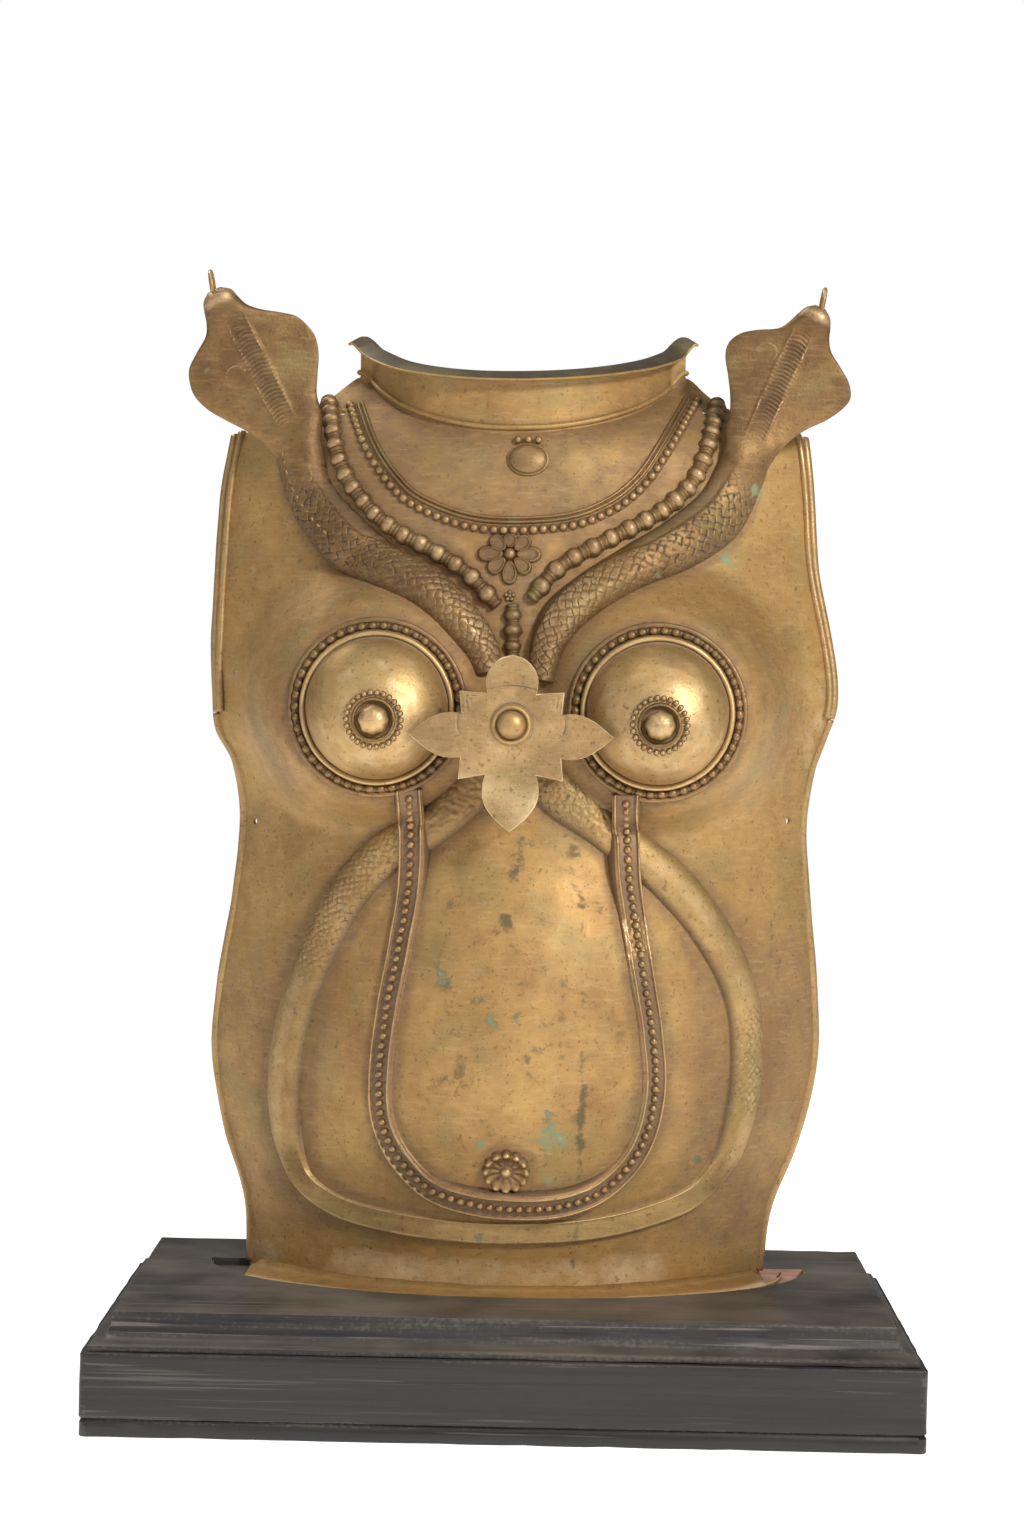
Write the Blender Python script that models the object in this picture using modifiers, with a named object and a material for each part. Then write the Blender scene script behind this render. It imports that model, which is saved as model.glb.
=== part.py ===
"""Brass chest plate with two cobras, standing in the seat of its black wooden plinth.

Metres, +Z up. The origin is the middle of the plinth's underside, and the plate faces -Y.
"""

import math
from collections import namedtuple

import bmesh
import bpy
from mathutils import Vector

for old in list(bpy.data.objects):
    bpy.data.objects.remove(old, do_unlink=True)

# Plinth
BOARD_WIDTH = 0.458
BOARD_DEPTH = 0.250
BOARD_HEIGHT = 0.0204
BOARD_EDGE = 0.008
SLAB_HEIGHT = 0.049
SLAB_STEP = 0.016
SLAB_STEP_DEEP = 0.0215
SLAB_CORNER = 0.004
LEDGE_STEP = 0.012
LEDGE_STEP_DEEP = 0.016
GROOVE_HEIGHT = 0.010
GROOVE_DEPTH = 0.0012
SEAT_DEPTH = 0.005
SEAT_REACH = 0.114
SEAT_BACK = 0.054
SEAT_CLEARANCE = 0.0006

# Plate
PLATE_HALF = 0.190
PLATE_RISE = 0.560
SEAT_HALF_WIDTH = 0.9895 * PLATE_HALF
PLATE_DEPTH = 0.080
PLATE_BOW = 2.4
WALL = 0.002
GAP = 0.0003
COLUMNS = 18
ROWS = 23
TIE_HOLE = 0.004
BELLY_SWELL = 0.022
BELLY_HALF_WIDTH = 0.125
BELLY_HALF_HEIGHT = 0.165
BELLY_HEIGHT = 0.257

# Bust
CUP_SPREAD = 0.443
CUP_HEIGHT = 0.640
CUP_RADIUS = 0.2237 * PLATE_HALF
CUP_RISE = 0.1526 * PLATE_HALF
CUP_RIM = 0.0035
CUP_STAND = 0.004
CUP_DROP = 0.007
CUP_TURN_OUT = 0.0005
CUP_PLANE = 0.056
MOUND_SKIRT = 0.034
CUP_BEAD = 0.0027
NIPPLE_RING = 0.0165
NIPPLE_BEAD = 0.0016
STUD_RADIUS = 0.0078
STUD_RISE = 0.010

# Borders, collar and relief
ROLL_RADIUS = 0.0031
ROLL_SPACING = 0.0058
COLLAR_RISE = 0.0375
COLLAR_LEAN = 0.15
COLLAR_LIP = 0.0110
COLLAR_LIP_DROP = 0.0055
COLLAR_FOOT = 0.0030
COLLAR_END_DROP = 0.0125
NECK_BACK = 0.060
LINE_HALF = 0.0025
LINE_STEP = 0.0063
LINE_RISE = 0.0024
SMALL_BEAD = 0.0031
LARGE_BEAD = 0.0326 * PLATE_HALF
LARGE_DISC = 0.0242 * PLATE_HALF
LARGE_PITCH = 0.05895 * PLATE_HALF
PENDANT_RADIUS = 0.0642 * PLATE_HALF
PENDANT_RISE = 0.0050
ROSETTE_UPPER_RADIUS = 0.1026 * PLATE_HALF
ROSETTE_LOWER_RADIUS = 0.07474 * PLATE_HALF
ROSETTE_RISE = 0.0036
Rosette = namedtuple("Rosette", "name across height radius petals steps tuck")
ROSETTES = (
    Rosette("rosette_upper", -0.034, 0.808, ROSETTE_UPPER_RADIUS, 8, 3, 0.42),
    Rosette("rosette_lower", -0.006, 0.146, ROSETTE_LOWER_RADIUS, 12, 2, 0.0),
)
STRAP_HALF = 0.0405 * PLATE_HALF
STRAP_RAIL = 0.0032
STRAP_FLOOR = 0.0008
STRAP_BEAD = 0.0027
STRAP_CLEARANCE = 0.0012
STRAP_DEPTH = 0.003
FLANGE_THICKNESS = 0.0030
STAR_THICKNESS = 0.0025
STAR_REACH = 0.32105 * PLATE_HALF
STAR_DROP = 0.0065
STAR_BACK = 0.0885
STAR_POST = 0.0042
STAR_STUD = 0.0085

# Cobras
HOOD_HALF = 0.2295 * PLATE_HALF
HOOD_PLACE = 0.004
HOOD_THICKNESS = 0.0036
STRIP_HALF = 0.0062
STRIP_RISE = 0.0010
HEAD_RISE = 0.0095
BODY_HALF = 0.09474 * PLATE_HALF
BODY_RISE = 0.0737 * PLATE_HALF
TAIL_HALF = 0.0684 * PLATE_HALF
TAIL_RISE = 0.04474 * PLATE_HALF
TAIL_DEPTH = 0.004
LOOP_RADIUS = 0.0057
LOOP_HEIGHT = 0.0142
LOOP_WIRE = 0.0015
LOOP_LIFT = 0.0022
LOOP_ASIDE = 0.0045

FOOT = SLAB_HEIGHT + BOARD_HEIGHT - SEAT_DEPTH + GAP
BOARD_TOP = SLAB_HEIGHT + BOARD_HEIGHT

# Plate sections: height as a share of PLATE_RISE, the two half widths as shares of PLATE_HALF,
# how far the side edges lie back and the middle lies forward as shares of PLATE_DEPTH.
Section = namedtuple("Section", "height left right back front")
PLATE_SECTIONS = (
    Section(0.000, 0.860, 0.840, 0.60, 0.38),
    Section(0.080, 0.872, 0.868, 0.60, 0.50),
    Section(0.160, 0.945, 0.955, 0.60, 0.64),
    Section(0.250, 0.990, 1.010, 0.60, 0.72),
    Section(0.330, 0.972, 1.003, 0.58, 0.72),
    Section(0.420, 0.930, 0.975, 0.55, 0.64),
    Section(0.515, 0.905, 0.953, 0.52, 0.55),
    Section(0.575, 0.935, 0.975, 0.50, 0.52),
    Section(0.610, 0.990, 1.010, 0.50, 0.51),
    Section(0.650, 1.003, 1.045, 0.50, 0.50),
    Section(0.700, 1.010, 1.035, 0.50, 0.49),
    Section(0.800, 1.000, 0.975, 0.50, 0.42),
    Section(0.880, 0.985, 0.955, 0.50, 0.32),
    Section(0.940, 0.955, 0.935, 0.52, 0.18),
    Section(1.000, 0.930, 0.910, 0.78, -0.42),
)

# Upper edge of the plate: place across as a share of the half width, height as a share of PLATE_RISE.
Edge = namedtuple("Edge", "across height")
TOP_EDGE = (
    Edge(-1.00, 0.938),
    Edge(-0.84, 0.956),
    Edge(-0.70, 0.977),
    Edge(-0.58, 1.008),
    Edge(-0.50, 0.986),
    Edge(-0.38, 0.962),
    Edge(-0.20, 0.946),
    Edge(0.00, 0.9425),
    Edge(0.20, 0.950),
    Edge(0.38, 0.968),
    Edge(0.50, 0.990),
    Edge(0.58, 1.014),
    Edge(0.70, 0.984),
    Edge(0.84, 0.965),
    Edge(1.00, 0.947),
)
COLLAR_ENDS = 0.583
ARMHOLE_ROW = 15
ARMHOLE_PART = 0.4

# Routes over the plate: across as a share of PLATE_HALF, height as a share of PLATE_RISE.
Place = namedtuple("Place", "across height")
SMALL_STRING = (
    Place(-0.568, 0.972),
    Place(-0.505, 0.922),
    Place(-0.425, 0.883),
    Place(-0.342, 0.859),
    Place(-0.189, 0.839),
    Place(-0.035, 0.834),
    Place(0.156, 0.840),
    Place(0.290, 0.858),
    Place(0.390, 0.886),
    Place(0.470, 0.926),
    Place(0.570, 0.987),
)
NECKLACE_LEFT = (
    Place(-0.640, 0.976),
    Place(-0.619, 0.945),
    Place(-0.591, 0.911),
    Place(-0.549, 0.882),
    Place(-0.470, 0.850),
    Place(-0.387, 0.829),
    Place(-0.289, 0.812),
    Place(-0.175, 0.788),
    Place(-0.096, 0.762),
)
NECKLACE_RIGHT = (
    Place(0.634, 0.982),
    Place(0.615, 0.954),
    Place(0.584, 0.919),
    Place(0.542, 0.890),
    Place(0.461, 0.862),
    Place(0.381, 0.845),
    Place(0.285, 0.827),
    Place(0.133, 0.797),
    Place(0.062, 0.775),
)
NECKLACE_STEM = (
    Place(-0.022, 0.758),
    Place(-0.020, 0.735),
    Place(-0.018, 0.700),
)
BELLY_STRAP = (
    Place(-0.340, 0.548),
    Place(-0.329, 0.493),
    Place(-0.333, 0.442),
    Place(-0.362, 0.375),
    Place(-0.395, 0.307),
    Place(-0.413, 0.235),
    Place(-0.396, 0.187),
    Place(-0.335, 0.149),
    Place(-0.220, 0.118),
    Place(-0.007, 0.105),
    Place(0.199, 0.110),
    Place(0.330, 0.132),
    Place(0.420, 0.172),
    Place(0.459, 0.228),
    Place(0.448, 0.290),
    Place(0.405, 0.375),
    Place(0.363, 0.460),
    Place(0.350, 0.548),
)

# Snake bodies: place, half width and height above the plate as shares of BODY_HALF and BODY_RISE.
Coil = namedtuple("Coil", "across height width rise")
COBRA_BODY_LEFT = (
    Coil(-0.722, 0.918, 0.88, 0.80),
    Coil(-0.696, 0.882, 0.86, 0.88),
    Coil(-0.639, 0.849, 0.93, 0.95),
    Coil(-0.554, 0.817, 0.96, 1.00),
    Coil(-0.437, 0.791, 0.85, 1.00),
    Coil(-0.323, 0.772, 0.82, 1.00),
    Coil(-0.237, 0.751, 0.80, 0.95),
    Coil(-0.165, 0.725, 0.76, 0.90),
    Coil(-0.119, 0.702, 0.66, 0.80),
    Coil(-0.100, 0.680, 0.52, 0.70),
)
COBRA_BODY_RIGHT = (
    Coil(0.722, 0.920, 0.88, 0.80),
    Coil(0.698, 0.898, 0.90, 0.88),
    Coil(0.629, 0.856, 1.00, 0.95),
    Coil(0.505, 0.823, 0.90, 1.00),
    Coil(0.361, 0.795, 0.82, 1.00),
    Coil(0.237, 0.768, 0.80, 1.00),
    Coil(0.143, 0.741, 0.78, 0.95),
    Coil(0.100, 0.714, 0.66, 0.90),
    Coil(0.088, 0.692, 0.56, 0.80),
    Coil(0.080, 0.672, 0.48, 0.70),
)
# Lower bodies and the band between them: shares of TAIL_HALF and TAIL_RISE.
SNAKE_TAILS = (
    Coil(-0.089, 0.572, 0.90, 0.90),
    Coil(-0.176, 0.540, 1.00, 1.00),
    Coil(-0.271, 0.512, 1.00, 1.00),
    Coil(-0.380, 0.489, 1.00, 1.00),
    Coil(-0.460, 0.466, 1.05, 1.00),
    Coil(-0.530, 0.436, 1.05, 1.00),
    Coil(-0.590, 0.398, 1.05, 1.00),
    Coil(-0.650, 0.350, 1.02, 1.00),
    Coil(-0.694, 0.306, 1.00, 1.00),
    Coil(-0.724, 0.255, 1.00, 1.00),
    Coil(-0.732, 0.205, 0.95, 0.95),
    Coil(-0.718, 0.158, 0.84, 0.85),
    Coil(-0.665, 0.115, 0.70, 0.65),
    Coil(-0.540, 0.090, 0.62, 0.50),
    Coil(-0.360, 0.080, 0.60, 0.45),
    Coil(-0.150, 0.076, 0.60, 0.45),
    Coil(0.042, 0.076, 0.60, 0.45),
    Coil(0.265, 0.080, 0.60, 0.45),
    Coil(0.460, 0.092, 0.62, 0.50),
    Coil(0.610, 0.112, 0.70, 0.65),
    Coil(0.705, 0.153, 0.84, 0.85),
    Coil(0.750, 0.209, 0.95, 0.95),
    Coil(0.762, 0.262, 1.00, 1.00),
    Coil(0.748, 0.315, 1.00, 1.00),
    Coil(0.715, 0.352, 1.02, 1.00),
    Coil(0.655, 0.391, 1.05, 1.00),
    Coil(0.580, 0.427, 1.05, 1.00),
    Coil(0.493, 0.459, 1.05, 1.00),
    Coil(0.401, 0.484, 1.00, 1.00),
    Coil(0.270, 0.519, 1.00, 1.00),
    Coil(0.148, 0.547, 1.00, 1.00),
    Coil(0.070, 0.573, 0.90, 0.90),
)

# Hoods: place along neck to crown, the outer and inner half widths of each hood as shares of
# HOOD_HALF, and half the thickness and the raised strip as shares of HEAD_RISE and STRIP_RISE.
Hood = namedtuple("Hood", "along left_out left_in right_out right_in thick strip")
HOOD_SECTIONS = (
    Hood(0.10, 0.44, 0.52, 0.40, 0.42, 0.75, 0.0),
    Hood(0.20, 0.58, 0.56, 0.48, 0.46, 0.42, 0.5),
    Hood(0.30, 0.76, 0.69, 0.62, 0.56, 0.24, 1.0),
    Hood(0.40, 0.92, 0.83, 0.82, 0.70, 0.20, 1.0),
    Hood(0.50, 1.00, 0.90, 0.96, 0.85, 0.20, 1.0),
    Hood(0.58, 0.98, 0.87, 1.00, 0.885, 0.20, 1.0),
    Hood(0.66, 0.89, 0.78, 0.89, 0.79, 0.22, 1.0),
    Hood(0.72, 0.70, 0.60, 0.70, 0.60, 0.26, 1.0),
    Hood(0.78, 0.49, 0.39, 0.49, 0.34, 0.45, 0.5),
    Hood(0.84, 0.40, 0.24, 0.39, 0.24, 0.75, 0.0),
    Hood(0.91, 0.35, 0.17, 0.33, 0.17, 1.00, 0.0),
    Hood(0.96, 0.30, 0.13, 0.27, 0.11, 0.90, 0.0),
    Hood(0.995, 0.20, 0.02, 0.17, 0.01, 0.45, 0.0),
)
# Neck and crown of each hood as shares of PLATE_HALF and PLATE_RISE, and their place before the axis.
Crown = namedtuple("Crown", "neck_across neck_height crown_across crown_height lean")
CROWN_LEFT = Crown(-0.735, 0.928, -0.989, 1.096, 0.010)
CROWN_RIGHT = Crown(0.722, 0.922, 0.934, 1.089, 0.010)

# Star flower: place along and across one lobe's half outline, as shares of STAR_REACH.
STAR_SIDE_LOBE = ((0.49, 0.213), (0.75, 0.18), (0.88, 0.09), (1.00, 0.00))
STAR_TOP_LOBE = ((0.41, 0.25), (0.59, 0.25), (0.74, 0.13), (0.79, 0.00))
STAR_FOOT_LOBE = ((0.38, 0.26), (0.61, 0.28), (0.80, 0.16), (0.93, 0.00))
STAR_CORNER = (0.51, 0.43)


def smooth_value(rows, name, place, key=0):
    """Reads one column of a table at a place, along a smooth curve through its rows."""
    last = len(rows) - 1
    i = 0
    while i < last - 1 and rows[i + 1][key] < place:
        i += 1
    start, end = rows[i][key], rows[i + 1][key]
    share = min(max((place - start) / (end - start), 0.0), 1.0)

    def slope(j):
        before, after = rows[max(j - 1, 0)], rows[min(j + 1, last)]
        return (getattr(after, name) - getattr(before, name)) / (after[key] - before[key])

    low, high = getattr(rows[i], name), getattr(rows[i + 1], name)
    square, cube = share**2, share**3
    return (
        (2 * cube - 3 * square + 1) * low
        + (cube - 2 * square + share) * slope(i) * (end - start)
        + (3 * square - 2 * cube) * high
        + (cube - square) * slope(i + 1) * (end - start)
    )


def half_width(height, side):
    """Half width of the plate at a height share, on the left (side below 0) or the right."""
    return PLATE_HALF * smooth_value(PLATE_SECTIONS, "left" if side < 0 else "right", height)


def ease(share):
    """A soft step from 0 to 1."""
    share = min(max(share, 0.0), 1.0)
    return share * share * (3 - 2 * share)


def cup_place(side):
    """Middle of a cup's rim, across and up."""
    return side * CUP_SPREAD * PLATE_HALF, FOOT + CUP_HEIGHT * PLATE_RISE


def plate_y(x, z):
    """Front face of the plate: a bowed section, swelling under the cups and over the belly."""
    height = (z - FOOT) / PLATE_RISE
    back = PLATE_DEPTH * smooth_value(PLATE_SECTIONS, "back", height)
    front = PLATE_DEPTH * smooth_value(PLATE_SECTIONS, "front", height)
    across = min(abs(x) / half_width(height, x), 1.15)
    y = back - (back + front) * (1 - across**PLATE_BOW)
    rim = CUP_RADIUS + CUP_RIM + 2 * CUP_BEAD
    for side in (-1, 1):
        cx, cz = cup_place(side)
        reach = math.hypot(x - cx, z - cz)
        outward = (side * (x - cx) + 0.6 * (z - cz)) / (reach + rim)
        skirt = MOUND_SKIRT * (1 + 0.55 * outward)
        share = ease((rim + skirt - reach) / skirt)
        y += (-CUP_PLANE - y) * share
    belly = math.hypot(x / BELLY_HALF_WIDTH, (z - FOOT - BELLY_HEIGHT * PLATE_RISE) / BELLY_HALF_HEIGHT)
    return y - BELLY_SWELL * ease(1 - belly)


def plate_normal(x, z):
    """Outward direction of the plate's front face."""
    step = 0.001
    across = (plate_y(x + step, z) - plate_y(x - step, z)) / (2 * step)
    up = (plate_y(x, z + step) - plate_y(x, z - step)) / (2 * step)
    return Vector((across, -1, up)).normalized()


def on_plate(across, height, lift=0.0):
    """A point over the plate, given as shares of PLATE_HALF and PLATE_RISE."""
    x = across * PLATE_HALF
    z = FOOT + height * PLATE_RISE
    return Vector((x, plate_y(x, z), z)) + lift * plate_normal(x, z)


def smooth_route(rows, count):
    """Evenly spaced rows along a smooth curve through a route's rows, every column carried along."""
    kind = type(rows[0])
    dense = []
    for i in range(len(rows) - 1):
        before = rows[max(i - 1, 0)]
        a, b = rows[i], rows[i + 1]
        after = rows[min(i + 2, len(rows) - 1)]
        for k in range(12):
            t = k / 12
            dense.append(
                [
                    q + 0.5 * t * (r - p + t * (2 * p - 5 * q + 4 * r - s + t * (3 * (q - r) + s - p)))
                    for p, q, r, s in zip(before, a, b, after)
                ]
            )
    dense.append(list(rows[-1]))
    spots = [on_plate(row[0], row[1]) for row in dense]
    walked = [0.0]
    for a, b in zip(spots, spots[1:]):
        walked.append(walked[-1] + (b - a).length)
    found = []
    j = 0
    for k in range(count):
        goal = walked[-1] * k / (count - 1)
        while j < len(walked) - 2 and walked[j + 1] < goal:
            j += 1
        share = (goal - walked[j]) / (walked[j + 1] - walked[j])
        found.append(kind(*[p + share * (q - p) for p, q in zip(dense[j], dense[j + 1])]))
    return found, walked[-1]


def collection(name, shown):
    made = bpy.data.collections.new(name)
    made.hide_render = not shown
    bpy.context.scene.collection.children.link(made)
    return made


PIECES = collection("brass chest plate", True)
CUTTERS = collection("cutters", False)


def finish(name, colour, roughness, metallic):
    made = bpy.data.materials.new(name)
    made.use_nodes = True
    shader = made.node_tree.nodes["Principled BSDF"]
    shader.inputs["Base Color"].default_value = (*colour, 1)
    shader.inputs["Roughness"].default_value = roughness
    shader.inputs["Metallic"].default_value = metallic
    return made


BRASS = (0.42, 0.26, 0.09)
WORN_BRASS = (0.52, 0.34, 0.13)
BROWN_BRASS = (0.30, 0.18, 0.07)
BLACK_PAINT = (0.03, 0.03, 0.032)


def place_object(name, mesh, colour=None, roughness=0.4, metallic=1.0):
    """Puts a mesh in the scene as a piece, or as a hidden cutter where it has no colour."""
    made = bpy.data.objects.new(name, mesh)
    if colour is None:
        made.display_type = "WIRE"
        made.hide_render = True
        CUTTERS.objects.link(made)
    else:
        mesh.materials.append(finish(name, colour, roughness, metallic))
        PIECES.objects.link(made)
    return made


def cut(piece, cutter, operation="DIFFERENCE"):
    boolean = piece.modifiers.new(f"{operation.lower()} {cutter.name}", "BOOLEAN")
    boolean.operation = operation
    boolean.object = cutter
    boolean.solver = "EXACT"


def loft(name, rings, colour=None, smooth=True, **looks):
    """A closed skin through rings of as many points each, with flat ends."""
    work = bmesh.new()
    loops = [[work.verts.new(point) for point in ring] for ring in rings]
    count = len(loops[0])
    for low, high in zip(loops, loops[1:]):
        for i in range(count):
            j = (i + 1) % count
            work.faces.new((low[i], low[j], high[j], high[i]))
    ends = [work.faces.new(list(reversed(loops[0]))), work.faces.new(loops[-1])]
    bmesh.ops.triangulate(work, faces=ends)
    bmesh.ops.recalc_face_normals(work, faces=work.faces)
    mesh = bpy.data.meshes.new(name)
    work.to_mesh(mesh)
    work.free()
    if smooth:
        mesh.shade_smooth()
        mesh.set_sharp_from_angle(angle=math.radians(40))
    return place_object(name, mesh, colour, **looks)


def as_mesh(source):
    """The evaluated mesh of a curve or a turned profile, welded, in place of the object itself."""
    graph = bpy.context.evaluated_depsgraph_get()
    mesh = bpy.data.meshes.new_from_object(source.evaluated_get(graph))
    mesh.transform(source.matrix_world)
    work = bmesh.new()
    work.from_mesh(mesh)
    bmesh.ops.remove_doubles(work, verts=work.verts, dist=0.00001)
    bmesh.ops.recalc_face_normals(work, faces=work.faces)
    work.to_mesh(mesh)
    work.free()
    bpy.data.objects.remove(source, do_unlink=True)
    return mesh


def wire(name, points, radii, sides_setting, colour=None, cyclic=False, **looks):
    """A round rod through the points, of one radius or one for each point."""
    curve = bpy.data.curves.new(name, "CURVE")
    curve.dimensions = "3D"
    curve.bevel_depth = 1.0
    curve.bevel_resolution = sides_setting
    curve.use_fill_caps = True
    line = curve.splines.new("POLY")
    line.points.add(len(points) - 1)
    line.use_cyclic_u = cyclic
    for i, point in enumerate(points):
        line.points[i].co = (*point, 1)
        line.points[i].radius = radii if isinstance(radii, float) else radii[i]
    made = bpy.data.objects.new(name, curve)
    bpy.context.scene.collection.objects.link(made)
    bpy.context.view_layer.update()
    mesh = as_mesh(made)
    mesh.name = name
    mesh.shade_smooth()
    return place_object(name, mesh, colour, **looks)


def turned(name, profile, steps, centre, colour=None, lean=(0.0, 0.0), rise=1.0, **looks):
    """A turned piece facing forward: profile points are (radius, forward), from the front to the back.

    lean moves each point aside by its share of the rise, as (across, up)."""
    mesh = bpy.data.meshes.new(name)
    mesh.from_pydata([(r, 0, f) for r, f in profile], [(i, i + 1) for i in range(len(profile) - 1)], [])
    source = bpy.data.objects.new(name, mesh)
    bpy.context.scene.collection.objects.link(source)
    screw = source.modifiers.new("turn", "SCREW")
    screw.steps = steps
    screw.render_steps = steps
    screw.use_merge_vertices = True
    screw.merge_threshold = 0.00001
    bpy.context.view_layer.update()
    mesh = as_mesh(source)
    for vertex in mesh.vertices:
        x, y, forward = vertex.co
        share = min(max(forward / rise, 0.0), 1.0)
        vertex.co = Vector(centre) + Vector((x + lean[0] * share, -forward, y + lean[1] * share))
    mesh.name = name
    mesh.shade_smooth()
    mesh.set_sharp_from_angle(angle=math.radians(40))
    return place_object(name, mesh, colour, **looks)


def sheet_point(across, up):
    """A point of the sheet's front: across from -1 to 1, up from 0 at the foot to 1 at the upper edge."""
    height = up * smooth_value(TOP_EDGE, "height", across)
    x = across * half_width(height, across)
    z = FOOT + height * PLATE_RISE
    return Vector((x, plate_y(x, z), z))


def plate_sheet(name, margin, lift):
    """The plate's front face as a grid of triangles, grown sideways by margin and forward by lift."""
    work = bmesh.new()
    bmesh.ops.create_grid(work, x_segments=COLUMNS, y_segments=ROWS, size=1.0)
    for vertex in work.verts:
        across, up = vertex.co.x, (vertex.co.y + 1) / 2
        point = sheet_point(across, up)
        facing = plate_normal(point.x, point.z)
        sideways = Vector((0, 0, 1)).cross(facing).normalized()
        point += lift * facing
        if abs(across) > 0.999:
            point += math.copysign(margin, across) * sideways
        if up > 0.999:
            point += margin * facing.cross(sideways)
        if up < 0.001:
            point -= margin * facing.cross(sideways)
        vertex.co = point
    bmesh.ops.triangulate(work, faces=work.faces, quad_method="FIXED")
    bmesh.ops.recalc_face_normals(work, faces=work.faces)
    if sum(face.normal.y * face.calc_area() for face in work.faces) > 0:
        bmesh.ops.reverse_faces(work, faces=work.faces)
    return work


def behind_plate():
    """Cutter: all that lies behind the plate's front face, grown forward by the gap."""
    work = plate_sheet("behind", GAP, GAP)
    made = bmesh.ops.extrude_face_region(work, geom=list(work.faces))
    back = PLATE_DEPTH + WALL
    for item in made["geom"]:
        if isinstance(item, bmesh.types.BMVert):
            item.co.y = back
    bmesh.ops.recalc_face_normals(work, faces=work.faces)
    mesh = bpy.data.meshes.new("behind plate")
    work.to_mesh(mesh)
    work.free()
    return place_object("behind plate", mesh)


def sheet_object(name, margin, lift, thickness, colour=None, **looks):
    work = plate_sheet(name, margin, lift)
    mesh = bpy.data.meshes.new(name)
    work.to_mesh(mesh)
    work.free()
    mesh.shade_smooth()
    made = place_object(name, mesh, colour, **looks)
    wall = made.modifiers.new("wall", "SOLIDIFY")
    wall.thickness = thickness
    wall.offset = -1
    wall.use_quality_normals = True
    return made


BEHIND = behind_plate()
AROUND = sheet_object("around plate", 1.5 * GAP, GAP, WALL + 2 * GAP)


def chest_shell():
    shell = sheet_object("chest_shell", 0.0, 0.0, WALL, BRASS, roughness=0.42)
    holes = ((-0.862, 0.508), (0.898, 0.520), (-0.592, 0.964), (0.590, 0.974))
    for i, (across, height) in enumerate(holes):
        middle = on_plate(across, height)
        facing = plate_normal(middle.x, middle.z)
        work = bmesh.new()
        bmesh.ops.create_cone(
            work, cap_ends=True, segments=8, radius1=TIE_HOLE / 2, radius2=TIE_HOLE / 2, depth=5 * WALL
        )
        mesh = bpy.data.meshes.new(f"tie hole {i}")
        work.to_mesh(mesh)
        work.free()
        drill = place_object(f"tie hole {i}", mesh)
        drill.matrix_world = facing.to_track_quat("Z", "Y").to_matrix().to_4x4()
        drill.location = middle
        cut(shell, drill)


def edge_row(side, row):
    """The plate's side edge at a row of the sheet, and its ways inboard and off the front."""
    point = sheet_point(side, row / ROWS)
    inboard = (sheet_point(side * (1 - 2 / COLUMNS), row / ROWS) - point).normalized()
    upward = (sheet_point(side, min(row + 1, ROWS) / ROWS) - sheet_point(side, (row - 1) / ROWS)).normalized()
    return point, inboard, upward.cross(inboard).normalized() * side


def edge_spot(side, row, inboard=0.0, forward=0.0):
    """A point near the side edge at a row number, which may lie between two rows or past the last."""
    low = min(int(row), ROWS - 1)
    share = row - low
    first, second = edge_row(side, low), edge_row(side, low + 1)
    point, along, facing = [a.lerp(b, share) if share <= 1 else b for a, b in zip(first, second)]
    if share > 1:
        point = second[0] + (second[0] - first[0]) * (share - 1)
    return point + inboard * along + forward * facing


def side_borders():
    """The rolled edge: one roll from the waist down, a double roll round the armhole."""
    for side, label in ((-1, "left"), (1, "right")):
        top = TOP_EDGE[0].height if side < 0 else TOP_EDGE[-1].height
        row_height = top * PLATE_RISE / ROWS
        rows = [(BOARD_TOP + GAP - FOOT) / row_height]
        rows += list(range(2, ARMHOLE_ROW)) + [ARMHOLE_ROW + ARMHOLE_PART - GAP / row_height]
        points = [edge_spot(side, row, 0.0, -WALL / 2) for row in rows]
        roll = wire(f"edge_roll_{label}", points, ROLL_RADIUS, 1, WORN_BRASS)
        cut(roll, AROUND)
        span = ROLL_SPACING
        r = ROLL_RADIUS
        outline = (
            (span + r, -WALL / 2),
            (r, -WALL / 2),
            (0.5 * r, -WALL - 0.7 * r),
            (-0.6 * r, -WALL - 0.5 * r),
            (-r, -0.3 * r),
            (-0.4 * r, 0.8 * r),
            (0.5 * r, 0.8 * r),
            (0.5 * span, 0.2 * r),
            (span - 0.4 * r, 0.9 * r),
            (span + 0.5 * r, 0.8 * r),
        )
        rows = [ARMHOLE_ROW + ARMHOLE_PART + 2 * GAP / row_height]
        rows += list(range(ARMHOLE_ROW + 1, ROWS)) + [ROWS + 0.1]
        rings = [[edge_spot(side, row, inboard, forward) for inboard, forward in outline] for row in rows]
        armhole = loft(f"armhole_roll_{label}", rings, WORN_BRASS)
        cut(armhole, AROUND)


def route_frames(rows):
    """At each row of a route over the plate: its point, the way across it and the way off the plate."""
    spots = [on_plate(row[0], row[1]) for row in rows]
    frames = []
    for i, spot in enumerate(spots):
        ahead = spots[min(i + 1, len(spots) - 1)] - spots[max(i - 1, 0)]
        facing = plate_normal(spot.x, spot.z)
        across = ahead.cross(facing).normalized()
        frames.append((spot, across, facing))
    return frames


def band(name, rows, section, colour, cutters=(), **looks):
    """A strip laid along a route: section points are (across, off the plate), in metres."""
    rings = []
    for spot, across, facing in route_frames(rows):
        rings.append([spot + a * across + f * facing for a, f in section])
    made = loft(name, rings, colour, **looks)
    cut(made, BEHIND)
    for cutter in cutters:
        cut(made, cutter)
    return made


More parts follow.
